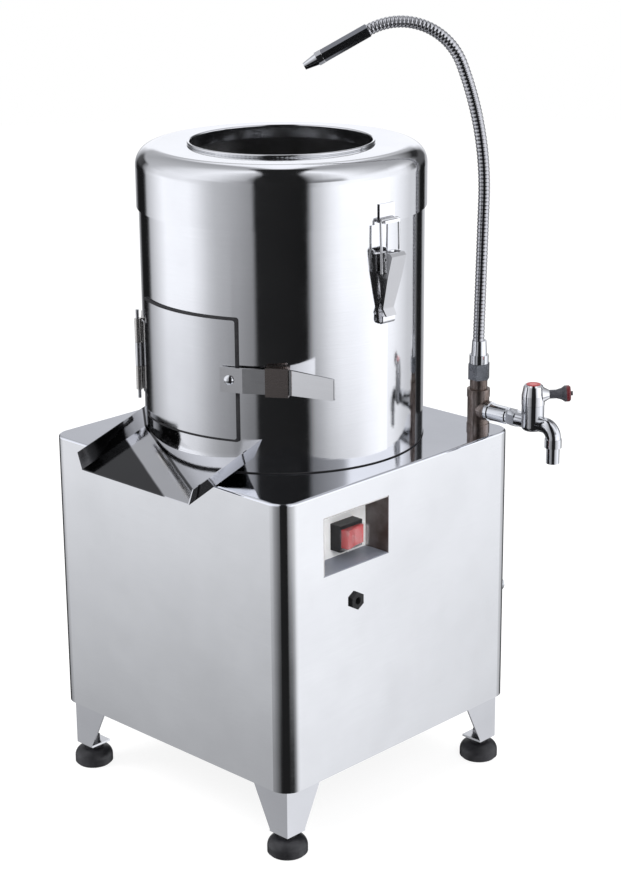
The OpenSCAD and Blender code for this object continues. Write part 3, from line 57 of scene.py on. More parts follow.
class Graph:
    # a node tree with a short way to add nodes and join them
    def __init__(self, tree):
        self.tree = tree

    def node(self, kind, inputs=None, **settings):
        made = self.tree.nodes.new(kind)
        for key, value in settings.items():
            setattr(made, key, value)
        self.feed(made, inputs or {})
        return made

    def feed(self, made, inputs):
        for key, value in inputs.items():
            socket = made.inputs[key]
            if isinstance(value, bpy.types.NodeSocket):
                self.tree.links.new(value, socket)
            else:
                socket.default_value = value

    def math(self, operation, *values):
        return self.node("ShaderNodeMath", dict(enumerate(values)), operation=operation).outputs[0]

    def remap(self, value, low, high, toLow, toHigh, smooth=False):
        kind = "SMOOTHSTEP" if smooth else "LINEAR"
        made = self.node("ShaderNodeMapRange", {0: value, 1: low, 2: high, 3: toLow, 4: toHigh},
                         interpolation_type=kind)
        return made.outputs[0]

    def mixColor(self, factor, a, b, blend="MIX"):
        made = self.node("ShaderNodeMix", data_type="RGBA", blend_type=blend)
        # sockets 6 and 7 are the two colours of a mix node
        self.feed(made, {0: factor, 6: a, 7: b})
        return made.outputs[2]

    def ramp(self, factor, stops):
        made = self.node("ShaderNodeValToRGB", {"Fac": factor})
        elements = made.color_ramp.elements
        while len(elements) < len(stops):
            elements.new(1.0)
        for element, (place, value) in zip(elements, stops):
            element.position = place
            element.color = (value, value, value, 1) if isinstance(value, (int, float)) else rgba(value)
        return made.outputs["Color"]

    def noise(self, coordinates, scale, detail=3.0, roughness=0.5, stretch=(1, 1, 1)):
        if stretch != (1, 1, 1):
            coordinates = self.node("ShaderNodeMapping", {"Vector": coordinates, "Scale": stretch}).outputs[0]
        inputs = {"Vector": coordinates, "Scale": scale, "Detail": detail, "Roughness": roughness}
        return self.node("ShaderNodeTexNoise", inputs).outputs[0]


def rgba(color):
    return (color[0], color[1], color[2], 1)


def shade(color, factor):
    return tuple(min(1.0, c * factor) for c in color)


def newMaterial(name):
    material = bpy.data.materials.new(name)
    material.use_nodes = True
    graph = Graph(material.node_tree)
    graph.tree.nodes.clear()
    shader = graph.node("ShaderNodeBsdfPrincipled")
    output = graph.node("ShaderNodeOutputMaterial")
    graph.tree.links.new(shader.outputs[0], output.inputs[0])
    coordinates = graph.node("ShaderNodeTexCoord").outputs["Object"]
    return material, graph, shader, coordinates


# polished and brushed sheet: the roughness wanders, a faint grain runs along one way, the sheet is a little wavy
steelSettings = {
    "cabinetSteel": {"color": (0.82, 0.825, 0.83), "rough": (0.07, 0.13), "grain": (2, 2, 160), "wave": 0.05},
    "deckSteel": {"color": (0.84, 0.855, 0.90), "rough": (0.04, 0.09), "grain": (120, 2, 2), "wave": 0.03},
    "drumSteel": {"color": (0.82, 0.825, 0.84), "rough": (0.05, 0.10), "grain": (2, 2, 200), "wave": 0.03},
    "doorSteel": {"color": (0.72, 0.725, 0.74), "rough": (0.08, 0.15), "grain": (2, 2, 200), "wave": 0.05},
    "chuteSteel": {"color": (0.80, 0.805, 0.83), "rough": (0.05, 0.1), "grain": (160, 2, 2), "wave": 0.04},
    "legSteel": {"color": (0.76, 0.765, 0.78), "rough": (0.08, 0.16), "grain": (2, 2, 160), "wave": 0.05},
    "latchSteel": {"color": (0.86, 0.86, 0.87), "rough": (0.12, 0.2), "grain": (2, 2, 90), "wave": 0.04},
    "hingeSteel": {"color": (0.66, 0.64, 0.61), "rough": (0.22, 0.34), "grain": (2, 2, 90), "wave": 0.05},
    "keeperSteel": {"color": (0.40, 0.35, 0.33), "rough": (0.2, 0.3), "grain": (2, 2, 90), "wave": 0.05},
    "barSteel": {"color": (0.78, 0.78, 0.79), "rough": (0.10, 0.18), "grain": (2, 2, 120), "wave": 0.05},
    "fastenerSteel": {"color": (0.50, 0.50, 0.52), "rough": (0.22, 0.36), "grain": (9, 9, 9), "wave": 0.05},
    "shaftSteel": {"color": (0.66, 0.66, 0.68), "rough": (0.14, 0.24), "grain": (2, 2, 150), "wave": 0.03},
    "chrome": {"color": (0.80, 0.81, 0.83), "rough": (0.05, 0.1), "grain": (3, 3, 3), "wave": 0.12},
    "neckChrome": {"color": (0.60, 0.60, 0.62), "rough": (0.10, 0.18), "grain": (3, 3, 3), "wave": 0.03},
    "gripSteel": {"color": (0.34, 0.35, 0.38), "rough": (0.14, 0.22), "grain": (20, 20, 20), "wave": 0.03},
    "pipeSteel": {"color": (0.62, 0.63, 0.64), "rough": (0.15, 0.26), "grain": (4, 60, 4), "wave": 0.04},
}


# painted reflection bands for the chute's floor: where each band lies, how dark it is, and how much its edges
# wander
chuteReflectionLook = {"corner": (0.0, -184.0), "slant": 2.1, "span": (-140.0, 0.0),
             "bandNoiseScale": 18.0, "wobble": 0.004,
             "tones": [(-128, 0.10), (-122, 1.0), (-54, 1.0), (-51.5, 0.12), (-46, 0.12), (-42, 0.92)]}


def chutePaintedReflection(graph, at):
    # painted reflection: slanting darker and lighter bands on the chute's floor stand in for what its mirror
    # sheet reflects; the place along x + slant * y picks the tone
    s = chuteReflectionLook
    split = graph.node("ShaderNodeSeparateXYZ", {0: at}).outputs
    corner = machineOrigin[0] + s["corner"][0] * mm + s["slant"] * (machineOrigin[1] + s["corner"][1] * mm)
    place = graph.math("SUBTRACT", graph.math("ADD", split["X"], graph.math("MULTIPLY", split["Y"], s["slant"])),
                       corner)
    low, high = s["span"]
    place = graph.math("ADD", place, graph.math("MULTIPLY", graph.noise(at, s["bandNoiseScale"]), s["wobble"]))
    stops = [((tone - low) / (high - low), value) for tone, value in s["tones"]]
    return graph.ramp(graph.remap(place, low * mm, high * mm, 0, 1), stops)


def steelMaterial(name):
    s = steelSettings[name]
    material, graph, shader, at = newMaterial(name)
    cloud = graph.noise(at, 7.0, 4.0, 0.55)
    grain = graph.noise(at, 9.0, 5.0, 0.65, s["grain"])
    smear = graph.noise(at, 26.0, 3.0, 0.6)
    color = graph.mixColor(graph.remap(cloud, 0.35, 0.68, 0, 1), rgba(s["color"]), rgba(shade(s["color"], 0.93)))
    color = graph.mixColor(graph.remap(grain, 0.3, 0.7, 0.0, 0.22), color, rgba(shade(s["color"], 0.84)))
    # the chute's colour is multiplied by its painted reflection bands
    if name == "chuteSteel":
        color = graph.mixColor(1.0, color, chutePaintedReflection(graph, at), "MULTIPLY")
    wander = graph.math("ADD", graph.math("MULTIPLY", smear, 0.55), graph.math("MULTIPLY", grain, 0.45))
    rough = graph.remap(wander, 0.38, 0.64, s["rough"][0], s["rough"][1])
    dents = graph.node("ShaderNodeBump", {"Strength": s["wave"], "Distance": 0.01,
                                         "Height": graph.noise(at, 5.5, 2.0, 0.5)})
    scratches = graph.node("ShaderNodeBump", {"Strength": 0.035, "Distance": 0.0006, "Height": grain,
                                             "Normal": dents.outputs[0]})
    graph.feed(shader, {"Base Color": color, "Roughness": rough, "Normal": scratches.outputs[0], "Metallic": 1.0})
    return material


# moulded and cast surfaces: a base colour with patches of a second one, and a pebbled bump
surfaceSettings = {
    "blackRubber": {"color": (0.018, 0.018, 0.02), "patch": (0.03, 0.03, 0.032), "rough": (0.5, 0.68),
                    "scale": 40, "bump": 0.25, "pebble": 900, "shine": 0.15},
    "footRubber": {"color": (0.012, 0.012, 0.014), "patch": (0.03, 0.03, 0.034), "rough": (0.32, 0.5),
                   "scale": 30, "bump": 0.18, "pebble": 700},
    "blackPlastic": {"color": (0.012, 0.012, 0.013), "patch": (0.02, 0.02, 0.022), "rough": (0.28, 0.4),
                     "scale": 60, "bump": 0.12, "pebble": 1400, "shine": 0.2},
    "castMetal": {"color": (0.24, 0.25, 0.26), "patch": (0.17, 0.175, 0.18), "rough": (0.42, 0.6),
                  "scale": 18, "bump": 0.35, "pebble": 260, "metallic": 1.0},
    "motorPaint": {"color": (0.11, 0.16, 0.22), "patch": (0.09, 0.13, 0.18), "rough": (0.36, 0.5),
                   "scale": 16, "bump": 0.15, "pebble": 420},
    "nutPaint": {"color": (0.17, 0.18, 0.20), "patch": (0.24, 0.25, 0.28), "rough": (0.2, 0.32),
                 "scale": 60, "bump": 0.15, "pebble": 500, "metallic": 0.8},
    "redPlastic": {"color": (0.48, 0.008, 0.012), "patch": (0.40, 0.007, 0.01), "rough": (0.2, 0.3),
                   "scale": 60, "bump": 0.04, "pebble": 900},
}


def surfaceMaterial(name):
    s = surfaceSettings[name]
    material, graph, shader, at = newMaterial(name)
    cloud = graph.noise(at, s["scale"], 4.0, 0.6)
    color = graph.mixColor(graph.remap(cloud, 0.4, 0.62, 0, 1), rgba(s["color"]), rgba(s["patch"]))
    rough = graph.remap(cloud, 0.35, 0.65, s["rough"][0], s["rough"][1])
    pebbles = graph.node("ShaderNodeBump", {"Strength": s["bump"], "Distance": 0.0006,
                                           "Height": graph.noise(at, s["pebble"], 2.0, 0.5)})
    graph.feed(shader, {"Base Color": color, "Roughness": rough, "Normal": pebbles.outputs[0],
                        "Metallic": s.get("metallic", 0.0), "Specular IOR Level": s.get("shine", 0.5)})
    return material


def abrasiveMaterial():
    # coarse grit set in resin: dark grains with pale sparkling ones, standing out of the ground
    material, graph, shader, at = newMaterial("abrasiveGrit")
    grains = graph.node("ShaderNodeTexVoronoi", {"Vector": at, "Scale": 520.0})
    pale = graph.ramp(grains.outputs["Color"], [(0.0, (0.05, 0.05, 0.055)), (0.62, (0.10, 0.10, 0.105)),
                                                (0.93, (0.20, 0.20, 0.20)), (1.0, (0.50, 0.49, 0.46))])
    stain = graph.mixColor(graph.remap(graph.noise(at, 14.0, 5.0, 0.6), 0.42, 0.66, 0, 0.6), pale,
                           (0.045, 0.042, 0.04, 1))
    height = graph.math("ADD", grains.outputs["Distance"], graph.noise(at, 800.0, 2.0))
    bumps = graph.node("ShaderNodeBump", {"Strength": 0.8, "Distance": 0.0012, "Height": height})
    graph.feed(shader, {"Base Color": stain, "Roughness": 0.75, "Normal": bumps.outputs[0]})
    return material


def teeMaterial():
    # worn nickel on brass: brown patches and dark drips that run down from the threads
    material, graph, shader, at = newMaterial("wornNickel")
    patches = graph.noise(at, 42.0, 5.0, 0.62, (1, 1, 0.55))
    drips = graph.noise(at, 60.0, 4.0, 0.7, (1.6, 1.6, 0.18))
    base = graph.ramp(patches, [(0.32, (0.13, 0.095, 0.08)), (0.47, (0.28, 0.225, 0.20)),
                                (0.60, (0.40, 0.345, 0.32)), (0.74, (0.60, 0.56, 0.54))])
    color = graph.mixColor(graph.remap(drips, 0.5, 0.68, 0, 0.75), base, (0.055, 0.042, 0.038, 1))
    rough = graph.remap(patches, 0.35, 0.68, 0.46, 0.26)
    pits = graph.node("ShaderNodeBump", {"Strength": 0.35, "Distance": 0.0008,
                                        "Height": graph.noise(at, 130.0, 4.0, 0.6)})
    graph.feed(shader, {"Base Color": color, "Roughness": rough, "Normal": pits.outputs[0], "Metallic": 1.0})
    return material


handleLook = {"grey": (0.045, 0.045, 0.053), "maroon": (0.10, 0.012, 0.016), "pivot": (281.0, 196.0, 561.0),
              "turn": 42.0, "tilt": 3.0, "from": 43.5, "to": 45.5, "nub": 50.3}


def handleMaterial():
    # dark grey plastic with a maroon band at the flared end and a grey nub beyond it
    s = handleLook
    material, graph, shader, at = newMaterial("handlePlastic")
    turn, tilt = math.radians(s["turn"]), math.radians(s["tilt"])
    along = (math.cos(turn) * math.cos(tilt), math.sin(turn) * math.cos(tilt), math.sin(tilt))
    pivot = tuple(onMachine(s["pivot"]))
    arm = graph.node("ShaderNodeVectorMath", {0: at, 1: pivot}, operation="SUBTRACT").outputs[0]
    place = graph.node("ShaderNodeVectorMath", {0: arm, 1: along}, operation="DOT_PRODUCT").outputs["Value"]
    band = graph.math("MULTIPLY", graph.remap(place, s["from"] * mm, s["to"] * mm, 0, 1, True),
                      graph.math("LESS_THAN", place, s["nub"] * mm))
    color = graph.mixColor(band, rgba(s["grey"]), rgba(s["maroon"]))
    bumps = graph.node("ShaderNodeBump", {"Strength": 0.1, "Distance": 0.0005,
                                         "Height": graph.noise(at, 700.0, 2.0)})
    graph.feed(shader, {"Base Color": color, "Normal": bumps.outputs[0],
                        "Roughness": graph.remap(graph.noise(at, 50.0), 0.35, 0.65, 0.2, 0.34)})
    return material


capLook = {"axis": (281.0, 196.0), "above": 575.7, "ring": 9.7, "centre": 5.5, "red": (0.36, 0.03, 0.03),
           "pale": (0.50, 0.13, 0.13), "chrome": (0.86, 0.86, 0.87)}


def capMaterial():
    # chrome with a red disc let into the top, paler in its middle
    s = capLook
    material, graph, shader, at = newMaterial("tapCap")
    middle = tuple(onMachine((*s["axis"], 0.0)))
    flat = graph.node("ShaderNodeVectorMath", {0: at, 1: (1.0, 1.0, 0.0)}, operation="MULTIPLY").outputs[0]
    far = graph.node("ShaderNodeVectorMath", {0: flat, 1: middle}, operation="DISTANCE").outputs["Value"]
    height = graph.node("ShaderNodeSeparateXYZ", {0: at}).outputs["Z"]
    disc = graph.math("MULTIPLY", graph.math("LESS_THAN", far, s["ring"] * mm),
                      graph.math("GREATER_THAN", height, s["above"] * mm))
    worn = graph.math("ADD", far, graph.math("MULTIPLY", graph.noise(at, 300.0), 0.002))
    red = graph.mixColor(graph.remap(worn, s["centre"] * mm, (s["centre"] + 1.5) * mm, 0, 1), rgba(s["pale"]),
                         rgba(s["red"]))
    graph.feed(shader, {"Base Color": graph.mixColor(disc, rgba(s["chrome"]), red),
                        "Metallic": graph.math("SUBTRACT", 1.0, disc),
                        "Roughness": graph.remap(graph.noise(at, 60.0), 0.35, 0.65, 0.04, 0.10)})
    return material


# painted reflections for the recess walls: a near-white back, a dark side and a grey-blue floor, each one sheet
# thick
recessPaintedLook = {"sheet": 1.6, "back": (0.98, 0.98, 0.98), "side": (0.045, 0.030, 0.027),
              "floor": (0.20, 0.215, 0.26), "rest": (0.45, 0.44, 0.44), "shine": 0.3}


def recessPaintedMaterial():
    # the cup behind the switch, satin all over, with painted reflections told apart by where they lie: a
    # near-white back, a dark side wall and a grey-blue floor
    s = recessPaintedLook
    low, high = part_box("switch_recess")
    material, graph, shader, at = newMaterial("recessPaintedSteel")
    split = graph.node("ShaderNodeSeparateXYZ", {0: at}).outputs
    # painted reflections: the floor, the side wall and the back wall each get their own colour by place
    color = graph.mixColor(graph.math("LESS_THAN", split["Z"], low[2] + s["sheet"] * mm), rgba(s["rest"]),
                           rgba(s["floor"]))
    side = graph.math("GREATER_THAN", split["Y"], high[1] - s["sheet"] * mm)
    color = graph.mixColor(side, color, rgba(s["side"]))
    back = graph.math("LESS_THAN", split["X"], low[0] + s["sheet"] * mm)
    cloud = graph.noise(at, 24.0, 4.0, 0.6)
    color = graph.mixColor(graph.remap(cloud, 0.4, 0.7, 0, 0.25), color, (0.3, 0.3, 0.31, 1))
    color = graph.mixColor(back, color, rgba(s["back"]))
    graph.feed(shader, {"Base Color": color, "Roughness": graph.remap(cloud, 0.35, 0.65, 0.3, 0.45),
                        "Specular IOR Level": s["shine"]})
    return material


def coverMaterial():
    # thin clear moulded cover with a trace of milky haze
    material, graph, shader, at = newMaterial("clearCover")
    haze = graph.noise(at, 60.0, 4.0, 0.6)
    tint = graph.mixColor(graph.remap(haze, 0.45, 0.7, 0, 0.5), (0.80, 0.82, 0.84, 1), (0.70, 0.72, 0.74, 1))
    graph.feed(shader, {"Base Color": tint, "Alpha": graph.remap(haze, 0.4, 0.7, 0.05, 0.12),
                        "Roughness": graph.remap(haze, 0.35, 0.65, 0.06, 0.14)})
    return material


materials = {name: steelMaterial(name) for name in steelSettings}
materials.update({name: surfaceMaterial(name) for name in surfaceSettings})
materials["abrasive"] = abrasiveMaterial()
materials["tee"] = teeMaterial()
materials["handle"] = handleMaterial()
materials["cover"] = coverMaterial()
materials["cap"] = capMaterial()
materials["recess"] = recessPaintedMaterial()
print("materials made:", len(materials))

finishOf = {
    "cabinetSteel": ["cabinet_shell", "rear_cover"],
    "recess": ["switch_recess"],
    "deckSteel": ["deck_plate"],
    "legSteel": ["legs"],
    "fastenerSteel": ["foot_nuts", "rear_cover_screws", "hinge_pin", "frame_bolts"],
    "drumSteel": ["drum_shell", "lid", "mouth_rim"],
    "doorSteel": ["discharge_door", "door_hinge_leaf"],
    "pipeSteel": ["drain_pipe", "drum_pan", "inlet_elbow", "motor_mount"],
    "chuteSteel": ["discharge_chute"],
    "latchSteel": ["toggle_bases", "toggle_lever_right", "toggle_lever_left", "toggle_bail_right",
                   "toggle_bail_left", "lid_keepers"],
    "hingeSteel": ["drum_hinge_leaf"],
    "keeperSteel": ["latch_keeper"],
    "barSteel": ["latch_bar"],
    "blackRubber": ["door_edging", "shaft_seal", "drive_belt"],
    "footRubber": ["foot_front_left", "foot_front_right", "foot_rear_left", "foot_rear_right"],
    "abrasive": ["abrasive_disc", "drum_liner"],
    "shaftSteel": ["drive_shaft", "shaft_bearings", "motor_rotor"],
    "castMetal": ["driven_pulley", "bearing_housing", "motor_pulley"],
    "motorPaint": ["motor"],
    "blackPlastic": ["switch_body", "cable_gland", "gland_nut"],
    "redPlastic": ["switch_rocker"],
    "cover": ["switch_cover"],
    "tee": ["tee_fitting"],
    "chrome": ["tap_body", "tap_spout_end", "neck_ferrule", "spray_tip", "latch_screw"],
    "cap": ["tap_cap"],
    "handle": ["tap_handle"],
    "nutPaint": ["neck_nut"],
    "neckChrome": ["neck_tube"],
    "gripSteel": ["spray_grip"],
}
for finish, names in finishOf.items():
    for name in names:
        nodes[name].data.materials.clear()
        nodes[name].data.materials.append(materials[finish])
print("nodes dressed:", sum(len(names) for names in finishOf.values()))


def gridSurface(name, points, material, closedU=False, closedV=False, capped=False):
    # points is an array of rows x columns x 3; each square of the grid becomes one face,
    # and a cap closes the first and the last row where asked
    rows, columns = points.shape[:2]
    index = np.arange(rows * columns).reshape(rows, columns)
    if closedU:
        index = np.vstack([index, index[:1]])
    if closedV:
        index = np.hstack([index, index[:, :1]])
    quads = np.stack([index[:-1, :-1], index[:-1, 1:], index[1:, 1:], index[1:, :-1]], axis=-1).reshape(-1, 4)
    faces = quads.tolist()
    if capped:
        faces.append(np.arange(columns)[::-1].tolist())
        faces.append((np.arange(columns) + (rows - 1) * columns).tolist())
    mesh = bpy.data.meshes.new(name)
    mesh.from_pydata(points.reshape(-1, 3).tolist(), [], faces)
    mesh.polygons.foreach_set("use_smooth", np.ones(len(faces), bool))
    mesh.materials.append(material)
    mesh.update()
    piece = bpy.data.objects.new(name, mesh)
    bpy.context.scene.collection.objects.link(piece)
    return piece


neck = {
    "foot": (186.0, 196.0, 600.3), "aimAt": (0.0, 4.0), "shift": 1.5, "lean": -1.2,
    "straight": 214.0, "bends": ((470.0, 22.0), (87.0, 98.0)), "middle": 4.0,
    "radius": 8.0, "groove": 1.0, "pitch": 5.2, "samples": 7, "around": 28,
}


def neckPath(s):
    # distance along the neck -> place and heading in the neck's own upright plane: a straight stretch,
    # an arc, a short straight and a second arc, each starting where the last one ends
    u, w, angle = s["shift"], 0.0, math.radians(s["lean"])
    stretches = [(s["straight"], 0.0), (math.radians(s["bends"][0][1]) * s["bends"][0][0], s["bends"][0][0]),
                 (s["middle"], 0.0), (math.radians(s["bends"][1][1]) * s["bends"][1][0], s["bends"][1][0])]
    total = sum(length for length, _ in stretches)
    ribs = round(total / s["pitch"])
    along = np.linspace(0, total, ribs * s["samples"] + 1)
    us, ws, angles = np.zeros_like(along), np.zeros_like(along), np.zeros_like(along)
    start = 0.0
    for length, radius in stretches:
        here = along >= start - 1e-9
        t = np.clip(along[here] - start, 0, length)
        turned = angle + (t / radius if radius else 0 * t)
        if radius:
            us[here] = u + radius * (math.cos(angle) - np.cos(turned))
            ws[here] = w + radius * (np.sin(turned) - math.sin(angle))
        else:
            us[here], ws[here] = u + t * math.sin(angle), w + t * math.cos(angle)
        angles[here] = turned
        u, w, angle = us[here][-1], ws[here][-1], angles[here][-1]
        start += length
    return along, us, ws, angles, ribs


def ribbedNeck(s):
    # a circle carried along the path; its radius swells and sinks once a rib as a flattened cosine
    along, us, ws, angles, ribs = neckPath(s)
    phase = along / along[-1] * ribs * 2 * np.pi
    swell = 0.5 + 0.5 * np.cos(phase)
    radius = s["radius"] - s["groove"] * (1 - swell ** 0.45)
    side = np.linspace(0, 2 * np.pi, s["around"], endpoint=False)
    foot = np.array(s["foot"])
    aim = np.array([s["aimAt"][0] - foot[0], s["aimAt"][1] - foot[1], 0.0])
    aim /= np.linalg.norm(aim)
    across = np.array([-aim[1], aim[0], 0.0])
    up = np.array([0.0, 0.0, 1.0])
    centre = foot + us[:, None] * aim + ws[:, None] * up
    outward = np.cos(angles)[:, None] * aim - np.sin(angles)[:, None] * up
    points = (centre[:, None] + radius[:, None, None] * (np.cos(side)[None, :, None] * outward[:, None]
              + np.sin(side)[None, :, None] * across[None, None]))
    piece = gridSurface("ribbedNeck", onMachine(points), materials["neckChrome"], closedV=True, capped=True)
    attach(piece, "gooseneck")
    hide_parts("neck_tube")


ribbedNeck(neck)
print("neck made")


seam = {"axis": (0.0, 4.0), "radius": 190.6, "out": 0.5, "high": 0.8, "profile": 12, "around": 240}


def footSeam(s):
    # a thin dark bead of sealant round the drum's foot: an ellipse carried round a circle
    foot = onMachine((*s["axis"], 0.0))
    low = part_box("drum_shell")[0][2]
    bend = np.linspace(0, 2 * np.pi, s["profile"], endpoint=False)[:, None]
    turn = np.linspace(0, 2 * np.pi, s["around"], endpoint=False)[None]
    reach = (s["radius"] + s["out"] * np.cos(bend)) * mm
    points = np.stack([foot[0] + reach * np.cos(turn), foot[1] + reach * np.sin(turn),
                       low + s["high"] * mm * (1 + np.sin(bend)) + 0 * turn], axis=-1)
    piece = gridSurface("footSeam", points, materials["blackRubber"], closedU=True, closedV=True)
    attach(piece, "frame")


footSeam(seam)
print("seam made")


view = {"azimuth": 44.25, "elevation": 17.39, "roll": -0.48, "focal": 2089.4, "distance": 2997.6,
        "slide": (-34.18, -374.96), "middle": (309.65, 433.07), "image": (621, 872), "floorBelow": 100.0,
        "clipEnd": 50}


def placeCamera(s):
    # the camera turns about the cabinet: right, up and back are its own three directions
    a, e, roll = (math.radians(s[key]) for key in ("azimuth", "elevation", "roll"))
    back = Vector((math.sin(a) * math.cos(e), -math.cos(a) * math.cos(e), math.sin(e)))
    right = Vector((math.cos(a), math.sin(a), 0))
    up = back.cross(right)
    turned = (math.cos(roll) * right + math.sin(roll) * up, -math.sin(roll) * right + math.cos(roll) * up, back)
    place = -(s["slide"][0] * turned[0] + s["slide"][1] * turned[1] - s["distance"] * turned[2])
    place = (place + Vector((0, 0, s["floorBelow"]))) * mm + Vector(machineOrigin.tolist())
    lens = bpy.data.cameras.new("camera")
    longSide = max(s["image"])
    lens.lens = s["focal"] * lens.sensor_width / longSide
    lens.shift_x = (s["image"][0] / 2 - s["middle"][0]) / longSide
    lens.shift_y = (s["middle"][1] - s["image"][1] / 2) / longSide
    lens.clip_end = s["clipEnd"]
    camera = bpy.data.objects.new("camera", lens)
    camera.matrix_world = Matrix.Translation(place) @ Matrix(turned).transposed().to_4x4()
    bpy.context.scene.collection.objects.link(camera)
    bpy.context.scene.camera = camera


placeCamera(view)

studio = {
    "ambient": 0.75,
    "tint": (0.97, 0.985, 1.035),
    # brightness of the room by degrees from the camera's side; each layer takes over from the one below it
    # while the ray's climb (its sine) goes from the first number to the second
    "foot": [(-180, 0.015), (-136, 0.015), (-131, 0.20), (-112, 0.30), (-90, 0.50), (-81, 0.32), (-51, 0.17),
             (-28, 0.015), (46, 0.015), (55, 0.17), (63, 0.33), (75, 0.8), (87, 1.1), (92, 1.0), (97, 0.75),
             (124, 0.45), (134, 0.2), (142, 0.015), (155, 0.015), (180, 0.3)],
    "layers": [
        (-0.44, -0.21, [(-180, 0.65), (-163, 0.35), (-156, 0.03), (-151, 0.012), (-137, 0.012), (-134, 0.10),
                        (-130.5, 0.55), (-126, 0.68), (-116, 0.95), (-105, 1.25), (-77, 1.2), (-68, 0.98),
                        (-60, 0.74), (-53, 0.60), (-40, 0.48), (-22.5, 0.33), (-20.5, 0.02), (20, 0.012),
                        (22.5, 0.35), (25, 0.62), (31, 0.82), (39, 1.13), (48, 1.35), (90, 1.45), (103, 1.15),
                        (121, 0.76), (130, 0.76), (134, 0.36), (140, 0.012), (153, 0.012),
                        (158, 0.5)]),
        (-0.08, 0.02, [(-180, 1.1), (-169, 1.1), (-163, 0.6), (-155, 0.1), (-139, 0.05), (-130, 0.5),
                       (-112, 0.95), (-81, 1.05), (-67, 0.9), (-53, 0.60), (-38, 0.48), (-22.5, 0.33),
                       (-20.5, 0.02), (20, 0.012), (22.5, 0.35), (28, 0.7), (41, 1.15), (59, 1.3), (107, 1.1),
                       (118, 0.8), (127, 0.2), (131, 0.1), (160, 0.1), (165, 0.7), (169, 1.1)]),
        (0.20, 0.27, [(-180, 0.62), (-165, 0.50), (-150, 0.45), (-124, 0.60), (-104, 1.0), (-78, 1.1),
                      (-61, 0.95), (-38, 0.5), (-23.5, 0.3), (-21.3, 0.02), (20, 0.012), (24, 0.22), (44, 0.40),
                      (50, 0.50), (56, 1.2), (112, 1.15), (120, 0.85), (126, 0.65), (134, 0.4), (142, 0.12),
                      (146, 0.03), (160, 0.03), (168, 0.5)]),
        (0.36, 0.55, [(-180, 1.2), (-171, 1.1), (-165, 0.44), (-157, 0.44), (-124, 0.58), (-104, 0.88),
                      (-89, 1.0), (-75, 1.1), (-60, 0.95), (-30, 0.5), (-21, 0.02), (20, 0.012),
                      (30, 0.5), (60, 1.2), (79, 0.88), (99, 0.63), (123, 0.46), (145, 0.42), (165, 0.45),
                      (171, 1.1)]),
    ],
    # above the machine a dark strip runs up from the camera's side: how far it fades out to each side,
    # up and away from the camera
    "strip": {"aside": (0.15, 0.21), "climb": (0.33, 0.45), "away": (-0.35, -0.2), "value": 0.015},
}


def stopsOf(stops):
    # degrees round the room -> places on a ramp, which closes on its first value where no stop ends it
    places = [((angle + 180) / 360, value) for angle, value in stops]
    return places if places[-1][0] == 1 else places + [(1.0, places[0][1])]


def makeWorld(s):
    # a room painted by direction: azimuth and climb of the ray pick the brightness
    world = bpy.data.worlds.new("studio")
    world.use_nodes = True
    graph = Graph(world.node_tree)
    graph.tree.nodes.clear()
    ray = graph.node("ShaderNodeTexCoord").outputs["Generated"]
    turned = graph.node("ShaderNodeVectorRotate", {"Vector": ray, "Angle": math.radians(90 - view["azimuth"])},
                        rotation_type="Z_AXIS").outputs[0]
    split = graph.node("ShaderNodeSeparateXYZ", {0: turned})
    climb = split.outputs["Z"]
    place = graph.remap(graph.math("ARCTAN2", split.outputs["Y"], split.outputs["X"]), -math.pi, math.pi, 0, 1)
    room = graph.ramp(place, stopsOf(s["foot"]))
    for low, high, stops in s["layers"]:
        room = graph.mixColor(graph.remap(climb, low, high, 0, 1), room, graph.ramp(place, stopsOf(stops)))
    aside = graph.math("ABSOLUTE", split.outputs["Y"])
    dark = s["strip"]
    strip = graph.math("MULTIPLY", graph.remap(aside, *dark["aside"], 1, 0, True),
                       graph.remap(climb, *dark["climb"], 0, 1))
    strip = graph.math("MULTIPLY", strip, graph.remap(split.outputs["X"], *dark["away"], 0, 1))
    room = graph.mixColor(strip, room, rgba([dark["value"]] * 3))
    room = graph.mixColor(1.0, room, rgba(s["tint"]), "MULTIPLY")
    rays = graph.node("ShaderNodeLightPath").outputs
    shiny = graph.math("MAXIMUM", rays["Is Glossy Ray"], rays["Is Transmission Ray"])
    plain = graph.mixColor(shiny, rgba([s["ambient"]] * 3), room)
    seen = graph.mixColor(rays["Is Camera Ray"], plain, (1, 1, 1, 1))
    background = graph.node("ShaderNodeBackground", {"Color": seen, "Strength": 1.0})
    output = graph.node("ShaderNodeOutputWorld")
    graph.tree.links.new(background.outputs[0], output.inputs[0])
    bpy.context.scene.world = world


makeWorld(studio)


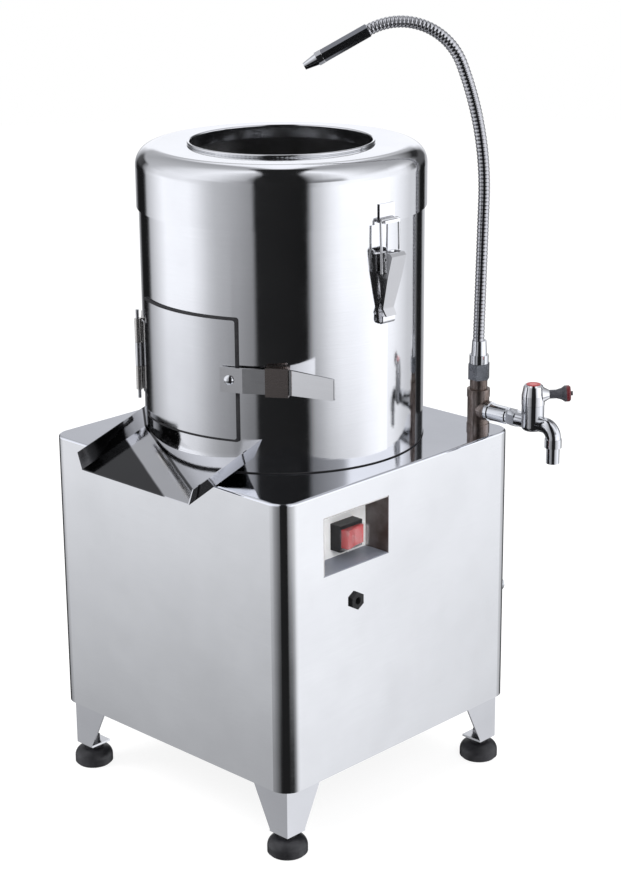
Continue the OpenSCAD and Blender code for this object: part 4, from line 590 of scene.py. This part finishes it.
ground = {"radius": 6.0, "hole": 0.001, "rings": 6, "around": 64, "below": 0.0004, "color": (0.86, 0.86, 0.87),
          "glow": 1.16, "share": 0.75}


def makeFloor(s):
    # a wide disc just under the feet; the camera sees part of it glow so that it stays white
    rings = np.linspace(0, 1, s["rings"])[:, None] ** 2 * s["radius"] + s["hole"]
    turn = np.linspace(0, 2 * np.pi, s["around"], endpoint=False)[None]
    points = np.stack([rings * np.cos(turn), rings * np.sin(turn), 0 * rings * turn - s["below"]], axis=-1)
    material = bpy.data.materials.new("paleFloor")
    material.use_nodes = True
    graph = Graph(material.node_tree)
    graph.tree.nodes.clear()
    matt = graph.node("ShaderNodeBsdfDiffuse", {"Color": rgba(s["color"])})
    glow = graph.node("ShaderNodeEmission", {"Color": (1, 1, 1, 1), "Strength": s["glow"]})
    rays = graph.node("ShaderNodeLightPath").outputs
    share = graph.math("MULTIPLY", rays["Is Camera Ray"], s["share"])
    mixed = graph.node("ShaderNodeMixShader", {0: share, 1: matt.outputs[0], 2: glow.outputs[0]})
    output = graph.node("ShaderNodeOutputMaterial")
    graph.tree.links.new(mixed.outputs[0], output.inputs[0])
    floor = gridSurface("floor", points, material, closedV=True)
    floor.data.flip_normals()
    floor.visible_glossy = False


makeFloor(ground)

lamps = [
    {"name": "keyLamp", "from": (-1.6, -2.2, 2.6), "size": 1.6, "power": 60},
    {"name": "fillLamp", "from": (2.4, -1.2, 2.0), "size": 1.8, "power": 45},
    {"name": "topLamp", "from": (0.2, 0.8, 3.0), "size": 1.8, "power": 40},
]


lampAim = Vector((0, 0, 0.5))


def makeLamp(s):
    light = bpy.data.lights.new(s["name"], "AREA")
    light.shape = "DISK"
    light.size = s["size"]
    light.energy = s["power"]
    lamp = bpy.data.objects.new(s["name"], light)
    lamp.location = s["from"]
    lamp.rotation_euler = (Vector(s["from"]) - lampAim).to_track_quat("Z", "Y").to_euler()
    lamp.visible_glossy = False
    bpy.context.scene.collection.objects.link(lamp)


for lampSettings in lamps:
    makeLamp(lampSettings)

scene = bpy.context.scene
scene.view_settings.view_transform = "Standard"
print("stage set")
